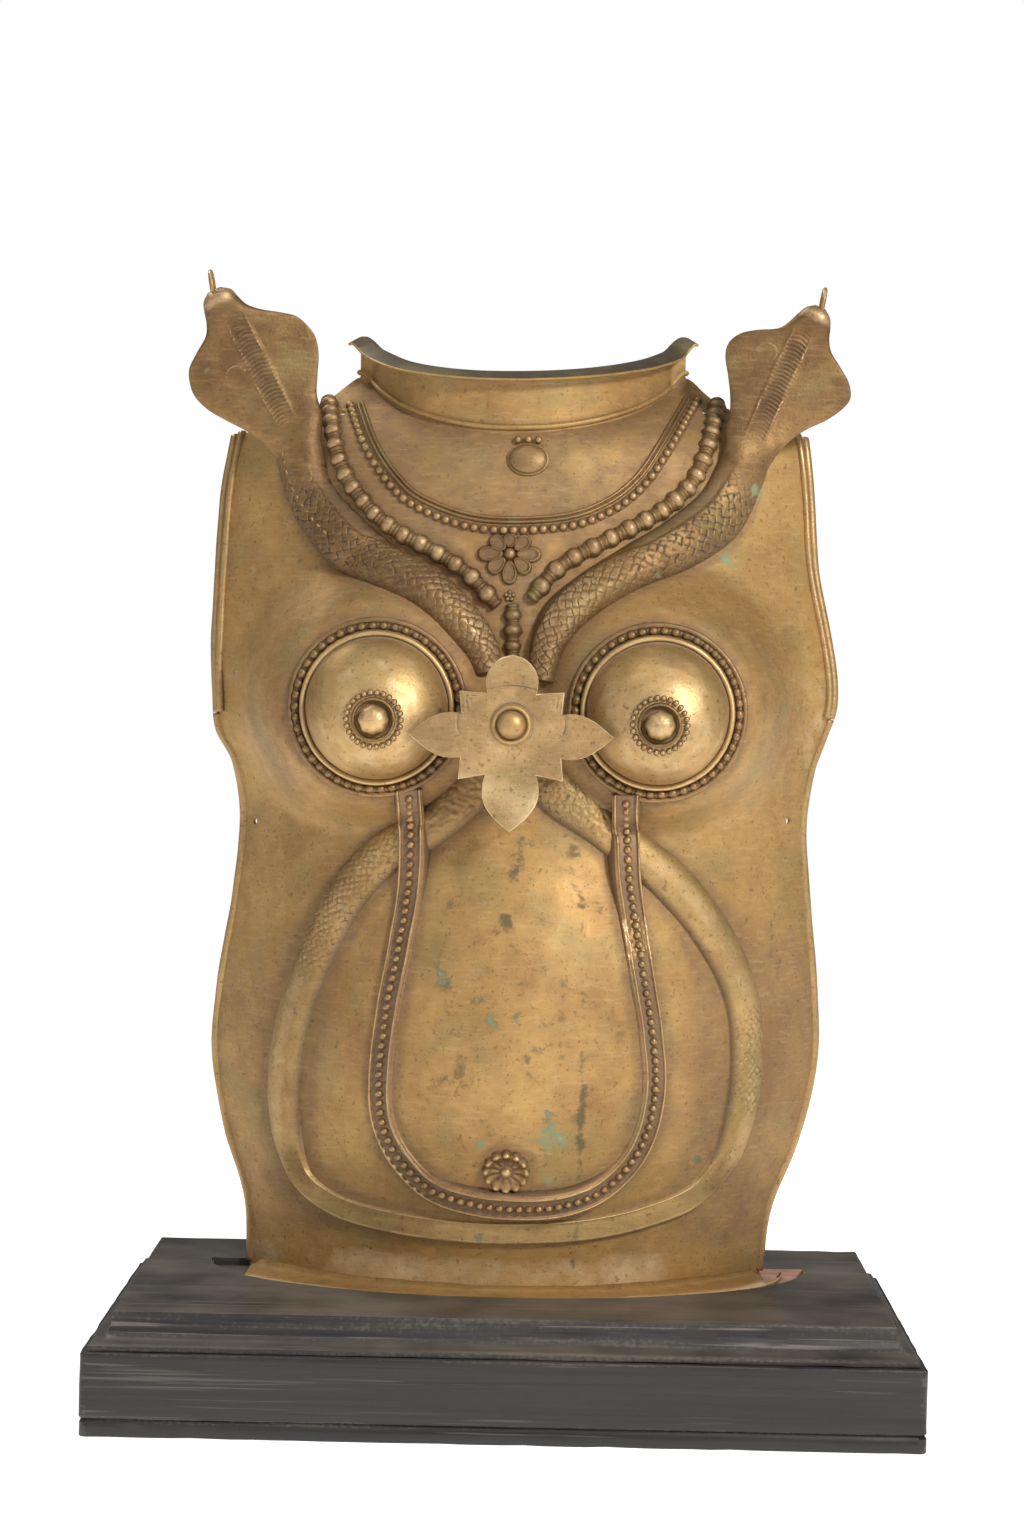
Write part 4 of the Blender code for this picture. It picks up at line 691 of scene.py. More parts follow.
def skin(name, rings, wear):
    """A closed skin over rings of as many points each, its two ends filled."""
    rings = np.asarray(rings, dtype=float)
    count, around = rings.shape[:2]
    low = np.arange(count - 1)[:, None] * around
    high = low + around
    here = np.arange(around)[None, :]
    there = (here + 1) % around
    faces = np.stack([low + here, low + there, high + there, high + here], axis=-1).reshape(-1, 4).tolist()
    faces.append(list(range(around))[::-1])
    faces.append([(count - 1) * around + n for n in range(around)])
    made = built(name, rings.reshape(-1, 3).tolist(), [], faces)
    face_outward()
    mark(made, "wear", wear)
    return made


def turns_round(steps):
    """Angles evenly spaced round a circle."""
    return np.arange(steps) * 2 * math.pi / steps


def joined(*pieces):
    """Several meshes as one piece."""
    clear()
    for piece in pieces:
        piece.select_set(True)
    bpy.context.view_layer.objects.active = pieces[0]
    bpy.ops.object.join()
    return pieces[0]


def unit(vectors):
    """Vectors brought to length one."""
    return vectors / np.linalg.norm(vectors, axis=-1, keepdims=True)


def tucked(places, depth=0.0012):
    """Keeps what lies over the sheet from passing out behind it."""
    x, z = places[..., 0], places[..., 2]
    height = (z - FOOT) / PLATE_RISE
    across = x / half_width(height, x)
    over = (np.abs(across) < 0.998) & (height < column(TOP_EDGE, "height", np.clip(across, -1, 1)))
    found = places.copy()
    found[..., 1] = np.where(over, np.minimum(places[..., 1], plate_y(x, z) + depth), places[..., 1])
    return found


def edge_frames(side, ups):
    """The sheet's side edge at shares of its height: points, ways inboard and ways off the front."""
    sides = np.full(len(ups), float(side))
    point = sheet_point(sides, ups)
    inboard = unit(sheet_point(sides * 0.89, ups) - point)
    ahead = unit(sheet_point(sides, ups + 0.01) - sheet_point(sides, ups - 0.01))
    facing = unit(np.cross(ahead, inboard)) * side
    return point, inboard, facing


def roll_along(name, side, ups, inboard_by, forward_by, radius, steps=16):
    """A round roll that follows the side edge, brightest on its ridge."""
    point, inboard, facing = edge_frames(side, ups)
    turns = turns_round(steps)
    thick = radius + uneven(point, 45)[:, None, None] * 0.00035
    centre = point + inboard * inboard_by + facing * forward_by
    rings = (centre[:, None] + inboard[:, None] * (thick * np.cos(turns)[None, :, None])
             + facing[:, None] * (thick * np.sin(turns)[None, :, None]))
    wear = np.broadcast_to(0.24 + 0.42 * np.sin(turns), rings.shape[:2])
    return skin(name, tucked(rings), wear)


for side, label in ((-1, "left"), (1, "right")):
    low = SEATED / (PLATE_RISE * column(TOP_EDGE, "height", float(side)))
    hip = roll_along("hip roll", side, np.linspace(low, CORNER, 200), 0.0, -WALL / 2, ROLL_RADIUS)
    finished(hip, f"hip_roll_{label}", ROLL_BRASS, f"edge_roll_{label}")
    ups = np.linspace(CORNER + 0.001, 1.002, 130)
    outer = roll_along("outer roll", side, ups, 0.0, -WALL / 2, ROLL_RADIUS)
    inner = roll_along("inner roll", side, ups, ROLL_SPACING, 0.0003, ROLL_RADIUS * 0.86)
    finished(joined(outer, inner), f"armhole_rolls_{label}", ROLL_BRASS, f"armhole_roll_{label}")


# The neck collar: a separate strip of brass brazed to the upper edge, standing up and leaning
# forward, its lip hammered out and down. A half-round moulding covers the joint at its foot.
COLLAR_ENDS = 0.583
COLLAR_RISE = 0.0375
COLLAR_LEAN = 0.15
COLLAR_LIP = 0.0110
COLLAR_LIP_DROP = 0.0055
COLLAR_END_DROP = 0.0125
COLLAR_FOOT = 0.0030
NECK_BACK = 0.060
LIP_BRASS = old_brass("dusty_lip_brass", "#85765F", "#605446", "#4C4238", "#534B42", 0.55, 0.5, 2.2)

across = COLLAR_ENDS * np.linspace(-1, 1, 141)
height = column(TOP_EDGE, "height", across)
x = across * half_width(height, across)
z = FOOT + height * PLATE_RISE
base = np.stack([x, plate_y(x, z), z], axis=-1)
outward = unit(np.stack([x, base[:, 1] - NECK_BACK, np.zeros_like(x)], axis=-1))
up = unit(np.array((0.0, -COLLAR_LEAN, 1.0)))
ends = np.abs(across) / COLLAR_ENDS
ragged = uneven([(a * 9, 3, 0) for a in across]) + 0.6 * uneven([(a * 31, 8, 0) for a in across])
tall = COLLAR_RISE - COLLAR_END_DROP * ends**2
drop = COLLAR_LIP_DROP * (1 - 0.3 * ends)
lip = (COLLAR_LIP + 0.0006 * ragged) * (1 - 0.30 * ends**12)

# The section of the strip, from the half-round moulding at its foot over the lip to its back:
# how far out and up each line runs, and how worn it is; under the lip this is painted shadow.
CollarLine = namedtuple("CollarLine", "out up wear")
section = [CollarLine(0.0012, -0.0026, 0.2)]
for k in range(9):
    turn = math.pi * (k / 8 - 0.5)
    out, up_by = COLLAR_FOOT * 0.80 * math.cos(turn), COLLAR_FOOT * (0.95 + 0.62 * math.sin(turn))
    section.append(CollarLine(out, up_by, 0.22 + 0.34 * math.cos(turn)))
section += [
    CollarLine(0.0, COLLAR_FOOT * 2.1, 0.28),
    CollarLine(0.0, tall * 0.45, 0.56),
    CollarLine(0.0, tall * 0.75, 0.46),
    # Painted shadow: the wall's top and the lip's underside are made dark, as in the lip's shade.
    CollarLine(0.0, tall - 2.6 * WALL, 0.12),
    CollarLine(0.10 * lip, tall - 0.10 * drop - 1.5 * WALL, 0.03),
    CollarLine(0.30 * lip, tall - 0.30 * drop - 1.15 * WALL, 0.06),
    CollarLine(0.96 * lip, tall - drop - 0.9 * WALL, 0.22),
    CollarLine(1.03 * lip, tall - drop - 0.70 * WALL, 0.50),
    CollarLine(1.04 * lip, tall - drop - 0.25 * WALL, 0.52),
    CollarLine(0.99 * lip, tall - drop - 0.02 * WALL, 0.40),
    CollarLine(0.55 * lip, tall - 0.5 * drop, 0.30),
    CollarLine(0.15 * lip, tall - 0.04 * drop, 0.28),
    CollarLine(-0.5 * WALL, tall, 0.5),
    CollarLine(-WALL, tall - 0.3 * WALL, 0.5),
    CollarLine(-WALL, 0.5 * tall, 0.4),
    CollarLine(-WALL, 0.0, 0.3),
]
rings = np.stack([base + outward * np.broadcast_to(line.out, across.shape)[:, None]
                  + up * np.broadcast_to(line.up, across.shape)[:, None] for line in section], axis=1)
collar = skin("collar", rings, np.broadcast_to([line.wear for line in section], rings.shape[:2]))
collar.data.set_sharp_from_angle(angle=math.radians(55))
finished(collar, "collar_strip", SHEET_BRASS, "neck_collar")
collar.data.materials.append(LIP_BRASS)
top_of_lip = range(19, 23)
for face in collar.data.polygons[:(len(across) - 1) * len(section)]:
    if face.index % len(section) in top_of_lip:
        face.material_index = 1


# The double line that edges the neck field, cast as one moulding and soldered on, and the fine
# beads that follow it outside: small balls fused in a row, dark between and bright on top.
LINE_HALF = 0.0025
LINE_STEP = 0.0063
LINE_RISE = 0.0024
SMALL_BEAD = 0.0030
SMALL_PITCH = 0.0060
Place = namedtuple("Place", "across height")
SMALL_STRING = (
    Place(-0.568, 0.972),
    Place(-0.505, 0.922),
    Place(-0.425, 0.883),
    Place(-0.342, 0.859),
    Place(-0.189, 0.839),
    Place(-0.035, 0.834),
    Place(0.156, 0.840),
    Place(0.290, 0.858),
    Place(0.390, 0.886),
    Place(0.470, 0.926),
    Place(0.570, 0.987),
)


def along(rows, count=None, pitch=None):
    """Evenly spaced rows along a smooth curve through a route's rows, and the route's length."""
    table = np.array([list(row) for row in rows])
    last = len(table) - 1
    dense = []
    for i in range(last):
        p, q, r, s = table[max(i - 1, 0)], table[i], table[i + 1], table[min(i + 2, last)]
        t = np.linspace(0, 1, 24, endpoint=False)[:, None]
        dense.append(q + 0.5 * t * (r - p + t * (2 * p - 5 * q + 4 * r - s + t * (3 * (q - r) + s - p))))
    dense = np.concatenate(dense + [table[-1:]])
    spots = on_plate(dense[:, 0], dense[:, 1])
    walked = np.concatenate([[0], np.cumsum(np.linalg.norm(np.diff(spots, axis=0), axis=1))])
    if pitch:
        count = max(round(walked[-1] / pitch), 1) + 1
    goals = np.linspace(0, walked[-1], count)
    found = np.stack([np.interp(goals, walked, dense[:, k]) for k in range(dense.shape[1])], axis=1)
    return found, walked[-1]


def laid(rows):
    """Along a route's rows: points on the plate, ways ahead, across and off the plate."""
    spot = on_plate(rows[:, 0], rows[:, 1])
    ahead = np.gradient(spot, axis=0)
    facing = plate_facing(spot[:, 0], spot[:, 2])
    across = unit(np.cross(ahead, facing))
    return spot, unit(np.cross(facing, across)), across, facing


def moulding(name, rows, outline, worn):
    """A strip laid along a route; its outline points are across and off the plate, in metres."""
    spot, _, across, facing = laid(rows)
    outline = np.array(outline)
    rings = spot[:, None] + across[:, None] * outline[None, :, :1] + facing[:, None] * outline[None, :, 1:]
    return skin(name, tucked(rings), np.broadcast_to(np.array(worn), rings.shape[:2]))


def strung(name, bead, places, sink=0.0012):
    """Copies one modelled bead to each place, given as a matrix and a scale, fused in one mesh."""
    corners = corners_of(bead)
    sides = [list(face.vertices) for face in bead.data.polygons]
    shine = np.array([item.value for item in bead.data.attributes["wear"].data])
    moved = [spot + (corners * size) @ np.asarray(turn).T for spot, turn, size in places]
    faces = [[v + n * len(corners) for v in side] for n in range(len(places)) for side in sides]
    made = built(name, tucked(np.concatenate(moved), sink).tolist(), [], faces)
    mark(made, "wear", np.tile(shine, len(places)))
    bpy.data.objects.remove(bead)
    return made


def ball(width, length, segments, rings, low=0.13, high=0.70):
    """One bead: a ball a little flattened on top by the casting mould, dark at its foot."""
    clear()
    bpy.ops.mesh.primitive_uv_sphere_add(segments=segments, ring_count=rings, radius=width)
    made = bpy.context.object
    bpy.ops.object.mode_set(mode="EDIT")
    bpy.ops.mesh.select_all(action="SELECT")
    bpy.ops.transform.rotate(value=math.pi / 2, orient_axis="Y", center_override=(0, 0, 0))
    bpy.ops.transform.resize(value=(length / width, 1, 1))
    bpy.ops.object.mode_set(mode="OBJECT")
    up = corners_of(made)[:, 2] / width
    mark(made, "wear", low + (high - low) * np.clip((up + 0.15) / 0.85, 0, 1) ** 1.3)
    return made


def turns_of(ahead, facing):
    """Rotation matrices with X along the string and Z off the plate."""
    return np.stack([ahead, np.cross(facing, ahead), facing], axis=-1)


rows, _ = along(SMALL_STRING, 260)
outline, worn = [(-LINE_HALF - LINE_STEP, -0.003)], [0.2]
for a in np.linspace(-1, 1, 19):
    ridge = max(1 - ((abs(a) - 0.52) / 0.46) ** 2, 0) ** 0.6
    outline.append((a * LINE_HALF - LINE_STEP, LINE_RISE * (0.15 + 0.75 * ridge)))
    worn.append(0.16 + 0.44 * ridge)
outline.append((LINE_HALF - LINE_STEP, -0.003))
worn.append(0.2)
finished(moulding("neck line", rows, outline, worn), "neckline_moulding", CAST_BRASS, "neckline_rolls")

rows, _ = along(SMALL_STRING, pitch=SMALL_PITCH)
spot, ahead, _, facing = laid(rows)
sizes = 1 + 0.10 * uneven(spot, 150)
string = strung("small beads", ball(SMALL_BEAD, 0.0029, 10, 6),
                list(zip(spot + facing * 0.0004, turns_of(ahead, facing), sizes)))
rows, _ = along(SMALL_STRING, 200)
bed = moulding("bead bed", rows, [(-0.0030, -0.003), (-0.0028, 0.0001), (-0.0014, 0.0005), (0.0014, 0.0005),
                                  (0.0028, 0.0001), (0.0030, -0.003)], [0.1, 0.15, 0.12, 0.12, 0.15, 0.1])
finished(joined(string, bed), "small_beads", CAST_BRASS, "small_bead_string")


# The long necklace: round cast beads with a pair of thin ribs between each two, in two strands
# that meet between the cups, and a short stem of flattened beads that runs down to the flower.
LARGE_BEAD = 0.0062
LARGE_PITCH = 0.0112
LARGE_SPREAD = 0.45
STEM_FLOWER_PIXEL = (509.7, 596.3)
NECKLACE_LEFT = (
    Place(-0.640, 0.976),
    Place(-0.619, 0.945),
    Place(-0.591, 0.911),
    Place(-0.549, 0.882),
    Place(-0.470, 0.850),
    Place(-0.387, 0.829),
    Place(-0.289, 0.812),
    Place(-0.175, 0.788),
    Place(-0.080, 0.7555),
)
NECKLACE_RIGHT = (
    Place(0.634, 0.982),
    Place(0.615, 0.954),
    Place(0.584, 0.919),
    Place(0.542, 0.890),
    Place(0.461, 0.862),
    Place(0.381, 0.845),
    Place(0.285, 0.827),
    Place(0.133, 0.797),
    Place(0.046, 0.764),
)
NECKLACE_STEM = (
    Place(-0.022, 0.750),
    Place(-0.020, 0.735),
    Place(-0.018, 0.700),
)


def turned(name, profile, steps, low=0.2, high=0.95):
    """A turned piece on the X axis from radius and place along, bright where it is widest."""
    edges = [(i, i + 1) for i in range(len(profile) - 1)]
    made = built(name, [(place, 0, r) for r, place in profile], edges, [])
    bpy.ops.object.mode_set(mode="EDIT")
    bpy.ops.mesh.select_all(action="SELECT")
    bpy.ops.mesh.spin(steps=steps, angle=2 * math.pi, center=(0, 0, 0), axis=(1, 0, 0))
    bpy.ops.mesh.select_all(action="SELECT")
    bpy.ops.mesh.remove_doubles(threshold=0.000005)
    face_outward()
    made.data.shade_smooth()
    places = corners_of(made)
    reach = np.hypot(places[:, 1], places[:, 2]) / max(r for r, _ in profile)
    mark(made, "wear", low + (high - low) * np.clip((reach - 0.55) / 0.45, 0, 1))
    return made


HALF_RIB = [(0, 0.0026), (0.0036, 0.0026), (0.0046, 0.0021), (0.0050, 0.0013), (0.0045, 0.0006)]
RIBS = [(r, -place) for r, place in HALF_RIB] + [(0.0037, 0.0)] + HALF_RIB[::-1]
for label, route in (("left", NECKLACE_LEFT), ("right", NECKLACE_RIGHT)):
    _, length = along(route, 8)
    beads = max(round(length / LARGE_PITCH), 2)
    rows, _ = along(route, 401)
    step = np.linspace(0, 1, 2 * beads + 1)
    pitch = 1 + LARGE_SPREAD * (step - 0.5)
    where = np.concatenate([[0], np.cumsum((pitch[1:] + pitch[:-1]) / 2)])
    picked = np.round(400 * where / where[-1]).astype(int)
    spot, ahead, _, facing = (found[picked] for found in laid(rows))
    size = np.stack([pitch, np.full(len(step), 0.98), 0.94 + 0.10 * step], axis=1)
    size *= (1 + 0.07 * uneven(spot, 90))[:, None]
    places = list(zip(spot + facing * 0.0014, turns_of(ahead, facing), size))
    balls = strung("beads", ball(LARGE_BEAD, 0.0048, 22, 14, 0.05, 0.72), places[1::2])
    ribs = strung("ribs", turned("rib pair", RIBS, 22, 0.04, 0.42), places[0::2])
    finished(joined(balls, ribs), f"necklace_beads_{label}", BROWN_BRASS, f"necklace_{label}")
rows, _ = along(NECKLACE_STEM, 7)
spot, ahead, _, facing = laid(rows)
turn = turns_of(ahead, facing)
sizes = {1: 0.92, 3: 0.98, 5: 0.86}
stem = strung("stem", ball(LARGE_BEAD, 0.0046, 20, 12, 0.05, 0.66),
              [(spot[i] + facing[i] * 0.0010, turn[i], size) for i, size in sizes.items()])
ribs = strung("stem ribs", turned("rib pair", RIBS, 20, 0.04, 0.42),
              [(spot[i] + facing[i] * 0.0008, turn[i], 0.85) for i in (0, 2, 4, 6)])
middle = under_pixel(*STEM_FLOWER_PIXEL)
facing = plate_facing(middle[0], middle[2])
turn = np.stack([(1, 0, 0), (0, 0, 1), facing], axis=-1)
petals = [(middle + facing * 0.0009 + 0.0022 * np.array((math.cos(t), 0, math.sin(t))), turn, 1.0)
          for t in (math.radians(90 + 72 * k) for k in range(5))]
flower = strung("flower", ball(0.0014, 0.0014, 12, 8), petals + [(middle + facing * 0.0013, turn, 0.9)])
finished(joined(stem, ribs, flower), "necklace_stem_beads", BROWN_BRASS, "necklace_stem")


# The pendant on the neck field: a domed disc soldered flat on the sheet, with a bail of three
# tiny balls above it. Hands have kept it bright.
PENDANT_RADIUS = 0.0122
PENDANT_RISE = 0.0050
PENDANT_RIM = 0.0014
BAIL_PITCH = 0.0062


def frame_at(spot):
    """On the plate at a point: ways to the right, up and off it."""
    facing = plate_facing(spot[0], spot[2])
    right = unit(np.cross((0, 0, 1.0), -facing))
    right = right if right[0] > 0 else -right
    high = unit(np.cross(right, facing))
    return right, high if high[2] > 0 else -high, facing


middle = on_plate(0.018, 0.912)
right, high, facing = frame_at(middle)
dome = [(PENDANT_RADIUS * 0.93 * math.sin(t), PENDANT_RIM + (PENDANT_RISE - PENDANT_RIM) * math.cos(t))
        for t in np.linspace(0.25, math.pi / 2, 8)]
edge = [(PENDANT_RADIUS * 0.95, 0.0008), (PENDANT_RADIUS, PENDANT_RIM), (PENDANT_RADIUS * 1.03, 0.0004),
        (PENDANT_RADIUS * 1.03, -0.003)]
disc = turned("disc", [(0, PENDANT_RISE)] + dome + edge, 40)
mark(disc, "wear", 0.32 + 0.26 * np.clip(corners_of(disc)[:, 0] / PENDANT_RISE, 0, 1))
disc_turn = np.stack([facing, right, unit(np.cross(facing, right))], axis=-1)
disc = strung("disc", disc, [(middle, disc_turn, np.array((1.0, 1.02, 0.82)))])
bail_turn = np.stack([right, high, facing], -1)
above = middle + high * (0.84 * PENDANT_RADIUS + 0.0022) + facing * 0.0006
bail = strung("bail", ball(0.0025, 0.0023, 14, 10),
              [(above + right * step * BAIL_PITCH, bail_turn, 1.0) for step in (-1, 0, 1)])
finished(joined(disc, bail), "pendant_disc", CAST_BRASS, "collar_pendant")


# The two rosettes, cast and soldered on: a daisy of eight long hollow petals where the necklace
# strands meet, and a small round one of twelve cupped petals over the strap's lowest bead.
Petal = namedtuple("Petal", "degrees length")
UPPER_PETALS = (
    Petal(0, 0.0192), Petal(42, 0.0160), Petal(90, 0.0128), Petal(138, 0.0158),
    Petal(180, 0.0196), Petal(222, 0.0168), Petal(270, 0.0186), Petal(318, 0.0166),
)
PETAL_START = 0.0036
LOWER_RADIUS = 0.0138
LOWER_PETALS = 12
CUPPED_FROM = 0.31

middle = on_plate(-0.034, 0.808)
right, high, facing = frame_at(middle)
parts = []
turns = turns_round(28)
for degrees, length in UPPER_PETALS:
    way = right * math.cos(math.radians(degrees)) + high * math.sin(math.radians(degrees))
    side_way = np.cross(facing, way)
    half = (length - PETAL_START) / 2
    width = 0.0046 + 0.075 * length
    rings, wear = [], []
    for share in np.concatenate([np.linspace(0.02, 1, 12), [1.02]]):
        along_petal = half * (1 + share * np.cos(turns))
        broad = width * (0.52 + 0.48 * np.clip(along_petal / (2 * half), 0, 1))
        rim = math.exp(-((share - 0.82) / 0.13) ** 2)
        lift = 0.0015 + 0.0012 * rim if share < 1.01 else -0.003
        rings.append(middle + way * (PETAL_START + along_petal)[:, None]
                     + side_way * (broad * share * np.sin(turns))[:, None] + facing * lift)
        wear.append(np.full(len(turns), 0.22 + 0.26 * rim))
    parts.append(skin("petal", tucked(np.array(rings)), wear))
boss_turn = np.stack([right, high, facing], -1)
boss = strung("boss", ball(0.0036, 0.0036, 20, 12, 0.3), [(middle + facing * 0.0016, boss_turn, 1.0)])
finished(joined(boss, *parts), "daisy_rosette", BROWN_BRASS, "rosette_upper")

# The lower one's section, from its edge to its middle.
Ring = namedtuple("Ring", "share lift shine")
CUPPED_SECTION = (
    Ring(1.06, -0.003, 0.15), Ring(1.03, 0.0012, 0.3), Ring(0.97, 0.0036, 0.9), Ring(0.90, 0.0040, 0.95),
    Ring(0.80, 0.0032, 0.7), Ring(0.66, 0.0022, 0.5), Ring(0.50, 0.0018, 0.45), Ring(0.36, 0.0016, 0.35),
    Ring(0.30, 0.0010, 0.15), Ring(0.26, 0.0012, 0.2), Ring(0.24, 0.0030, 0.7), Ring(0.17, 0.0042, 0.9),
    Ring(0.08, 0.0048, 0.95), Ring(0.01, 0.0049, 0.95),
)
middle = on_plate(-0.006, 0.146)
right, high, facing = frame_at(middle)
turns = turns_round(12 * LOWER_PETALS)
lobe = np.abs(np.cos(LOWER_PETALS * turns / 2))
scallop = 0.86 + 0.14 * lobe**0.6
folded = 0.5 + 0.5 * np.sin(turns + 0.3)
rings, wear = [], []
for share, lift, shine in CUPPED_SECTION:
    cupped = CUPPED_FROM < share < 1.0
    raised = np.full(len(turns), lift)
    if lift > 0:
        raised = lift * (1 - 0.45 * (1 - lobe) * cupped + 0.25 * folded * (0.75 < share < 1.0))
    reach = LOWER_RADIUS * share * (scallop if share > CUPPED_FROM else 1.0)
    rings.append(middle + right * (reach * np.cos(turns))[:, None] + high * (reach * np.sin(turns))[:, None]
                 + facing * raised[:, None])
    wear.append(shine * (0.35 + 0.65 * lobe) if cupped else np.full(len(turns), shine))
finished(skin("rosette", tucked(np.array(rings)), wear), "cupped_rosette", CAST_BRASS, "rosette_lower")


# The two cobras: flat hoods cut free above the shoulders, a ribbed strip down each throat, and
# round bodies chased all over with overlapping scales, soldered to the sheet along both sides.
HOOD_HALF = 0.0436
HOOD_PLACE = 0.004
STRIP_HALF = 0.0062
STRIP_RISE = 0.0012
HEAD_RISE = 0.0095
BODY_HALF = 0.0180
BODY_RISE = 0.0140
Coil = namedtuple("Coil", "across height width rise")
COBRA_BODIES = {
    "left": (
        Coil(-0.722, 0.918, 0.88, 0.80),
        Coil(-0.696, 0.882, 0.86, 0.88),
        Coil(-0.639, 0.849, 0.93, 0.95),
        Coil(-0.554, 0.817, 0.96, 1.00),
        Coil(-0.437, 0.791, 0.85, 1.00),
        Coil(-0.323, 0.772, 0.82, 1.00),
        Coil(-0.237, 0.751, 0.80, 0.95),
        Coil(-0.165, 0.725, 0.76, 0.90),
        Coil(-0.119, 0.702, 0.66, 0.80),
        Coil(-0.100, 0.680, 0.52, 0.70),
    ),
    "right": (
        Coil(0.722, 0.920, 0.88, 0.80),
        Coil(0.698, 0.898, 0.90, 0.88),
        Coil(0.629, 0.856, 1.00, 0.95),
        Coil(0.505, 0.823, 0.90, 1.00),
        Coil(0.361, 0.795, 0.82, 1.00),
        Coil(0.237, 0.768, 0.80, 1.00),
        Coil(0.143, 0.741, 0.78, 0.95),
        Coil(0.100, 0.714, 0.66, 0.90),
        Coil(0.088, 0.692, 0.56, 0.80),
        Coil(0.080, 0.672, 0.48, 0.70),
    ),
}
Hood = namedtuple("Hood", "along left_out left_in right_out right_in thick strip")
HOOD_SECTIONS = (
    Hood(0.10, 0.44, 0.52, 0.40, 0.42, 0.75, 0.0),
    Hood(0.20, 0.58, 0.56, 0.48, 0.46, 0.42, 0.5),
    Hood(0.30, 0.76, 0.69, 0.62, 0.56, 0.24, 1.0),
    Hood(0.40, 0.92, 0.83, 0.82, 0.70, 0.20, 1.0),
    Hood(0.50, 1.00, 0.90, 0.96, 0.85, 0.20, 1.0),
    Hood(0.58, 0.98, 0.87, 1.00, 0.885, 0.20, 1.0),
    Hood(0.66, 0.89, 0.78, 0.89, 0.79, 0.22, 1.0),
    Hood(0.72, 0.70, 0.60, 0.70, 0.60, 0.26, 1.0),
    Hood(0.78, 0.49, 0.39, 0.49, 0.34, 0.45, 0.5),
    Hood(0.84, 0.40, 0.24, 0.39, 0.24, 0.75, 0.0),
    Hood(0.91, 0.35, 0.17, 0.33, 0.17, 1.00, 0.0),
    Hood(0.96, 0.30, 0.13, 0.27, 0.11, 0.90, 0.0),
    Hood(0.995, 0.20, 0.02, 0.17, 0.01, 0.45, 0.0),
)
Crown = namedtuple("Crown", "neck_across neck_height crown_across crown_height lean")
CROWNS = {
    "left": Crown(-0.735, 0.928, -0.989, 1.096, 0.010),
    "right": Crown(0.722, 0.922, 0.934, 1.089, 0.010),
}
Arc = namedtuple("Arc", "aside along low")
HOOD_ARCS = {"left": Arc(0.0150, 0.50, 0.50), "right": Arc(-0.0150, 0.62, 0.60)}
ARC_RADIUS = 0.0062
THROAT_RIBS = 20
THROAT_START, THROAT_LENGTH = 0.30, 0.48
SCALE_PITCH = 0.0066
FRONT, REAR = 92, 8
OVAL_POWER = 2.6
OVAL_BACK = 0.65


def scales(ahead, over, pitch, wide):
    """Scales chased as a net of crossing cuts: how raised each place is, 0 in the cuts."""
    stray = uneven([(p * 190, q * 190, 5) for p, q in zip(ahead, over)])
    faint = uneven([(p * 260, q * 260, 9) for p, q in zip(ahead, over)])
    first = ahead / pitch + over / wide + 0.36 * stray
    second = ahead / pitch - over / wide - 0.36 * stray
    near = np.minimum(np.abs(first - np.round(first)), np.abs(second - np.round(second)))
    tilt = 0.5 * (first - np.floor(first) + second - np.floor(second))
    cut_in = ease((0.125 - near) / 0.095) * np.clip(0.85 + 2.4 * faint, 0.05, 1)
    return (1 - cut_in) * (0.66 + 0.34 * tilt)


def flat_oval(half, rise):
    """Across and facing places of a flat oval section's front, and of its back."""
    a = -np.cos(np.linspace(0, math.pi, FRONT))
    front = np.stack([a * half, rise * (1 - np.abs(a) ** OVAL_POWER) ** 0.5], axis=-1)
    behind = np.linspace(0.85, -0.85, REAR)
    rear = np.stack([behind * half, -OVAL_BACK * rise * (1 - np.abs(behind) ** OVAL_POWER) ** 0.5], axis=-1)
    return front, rear


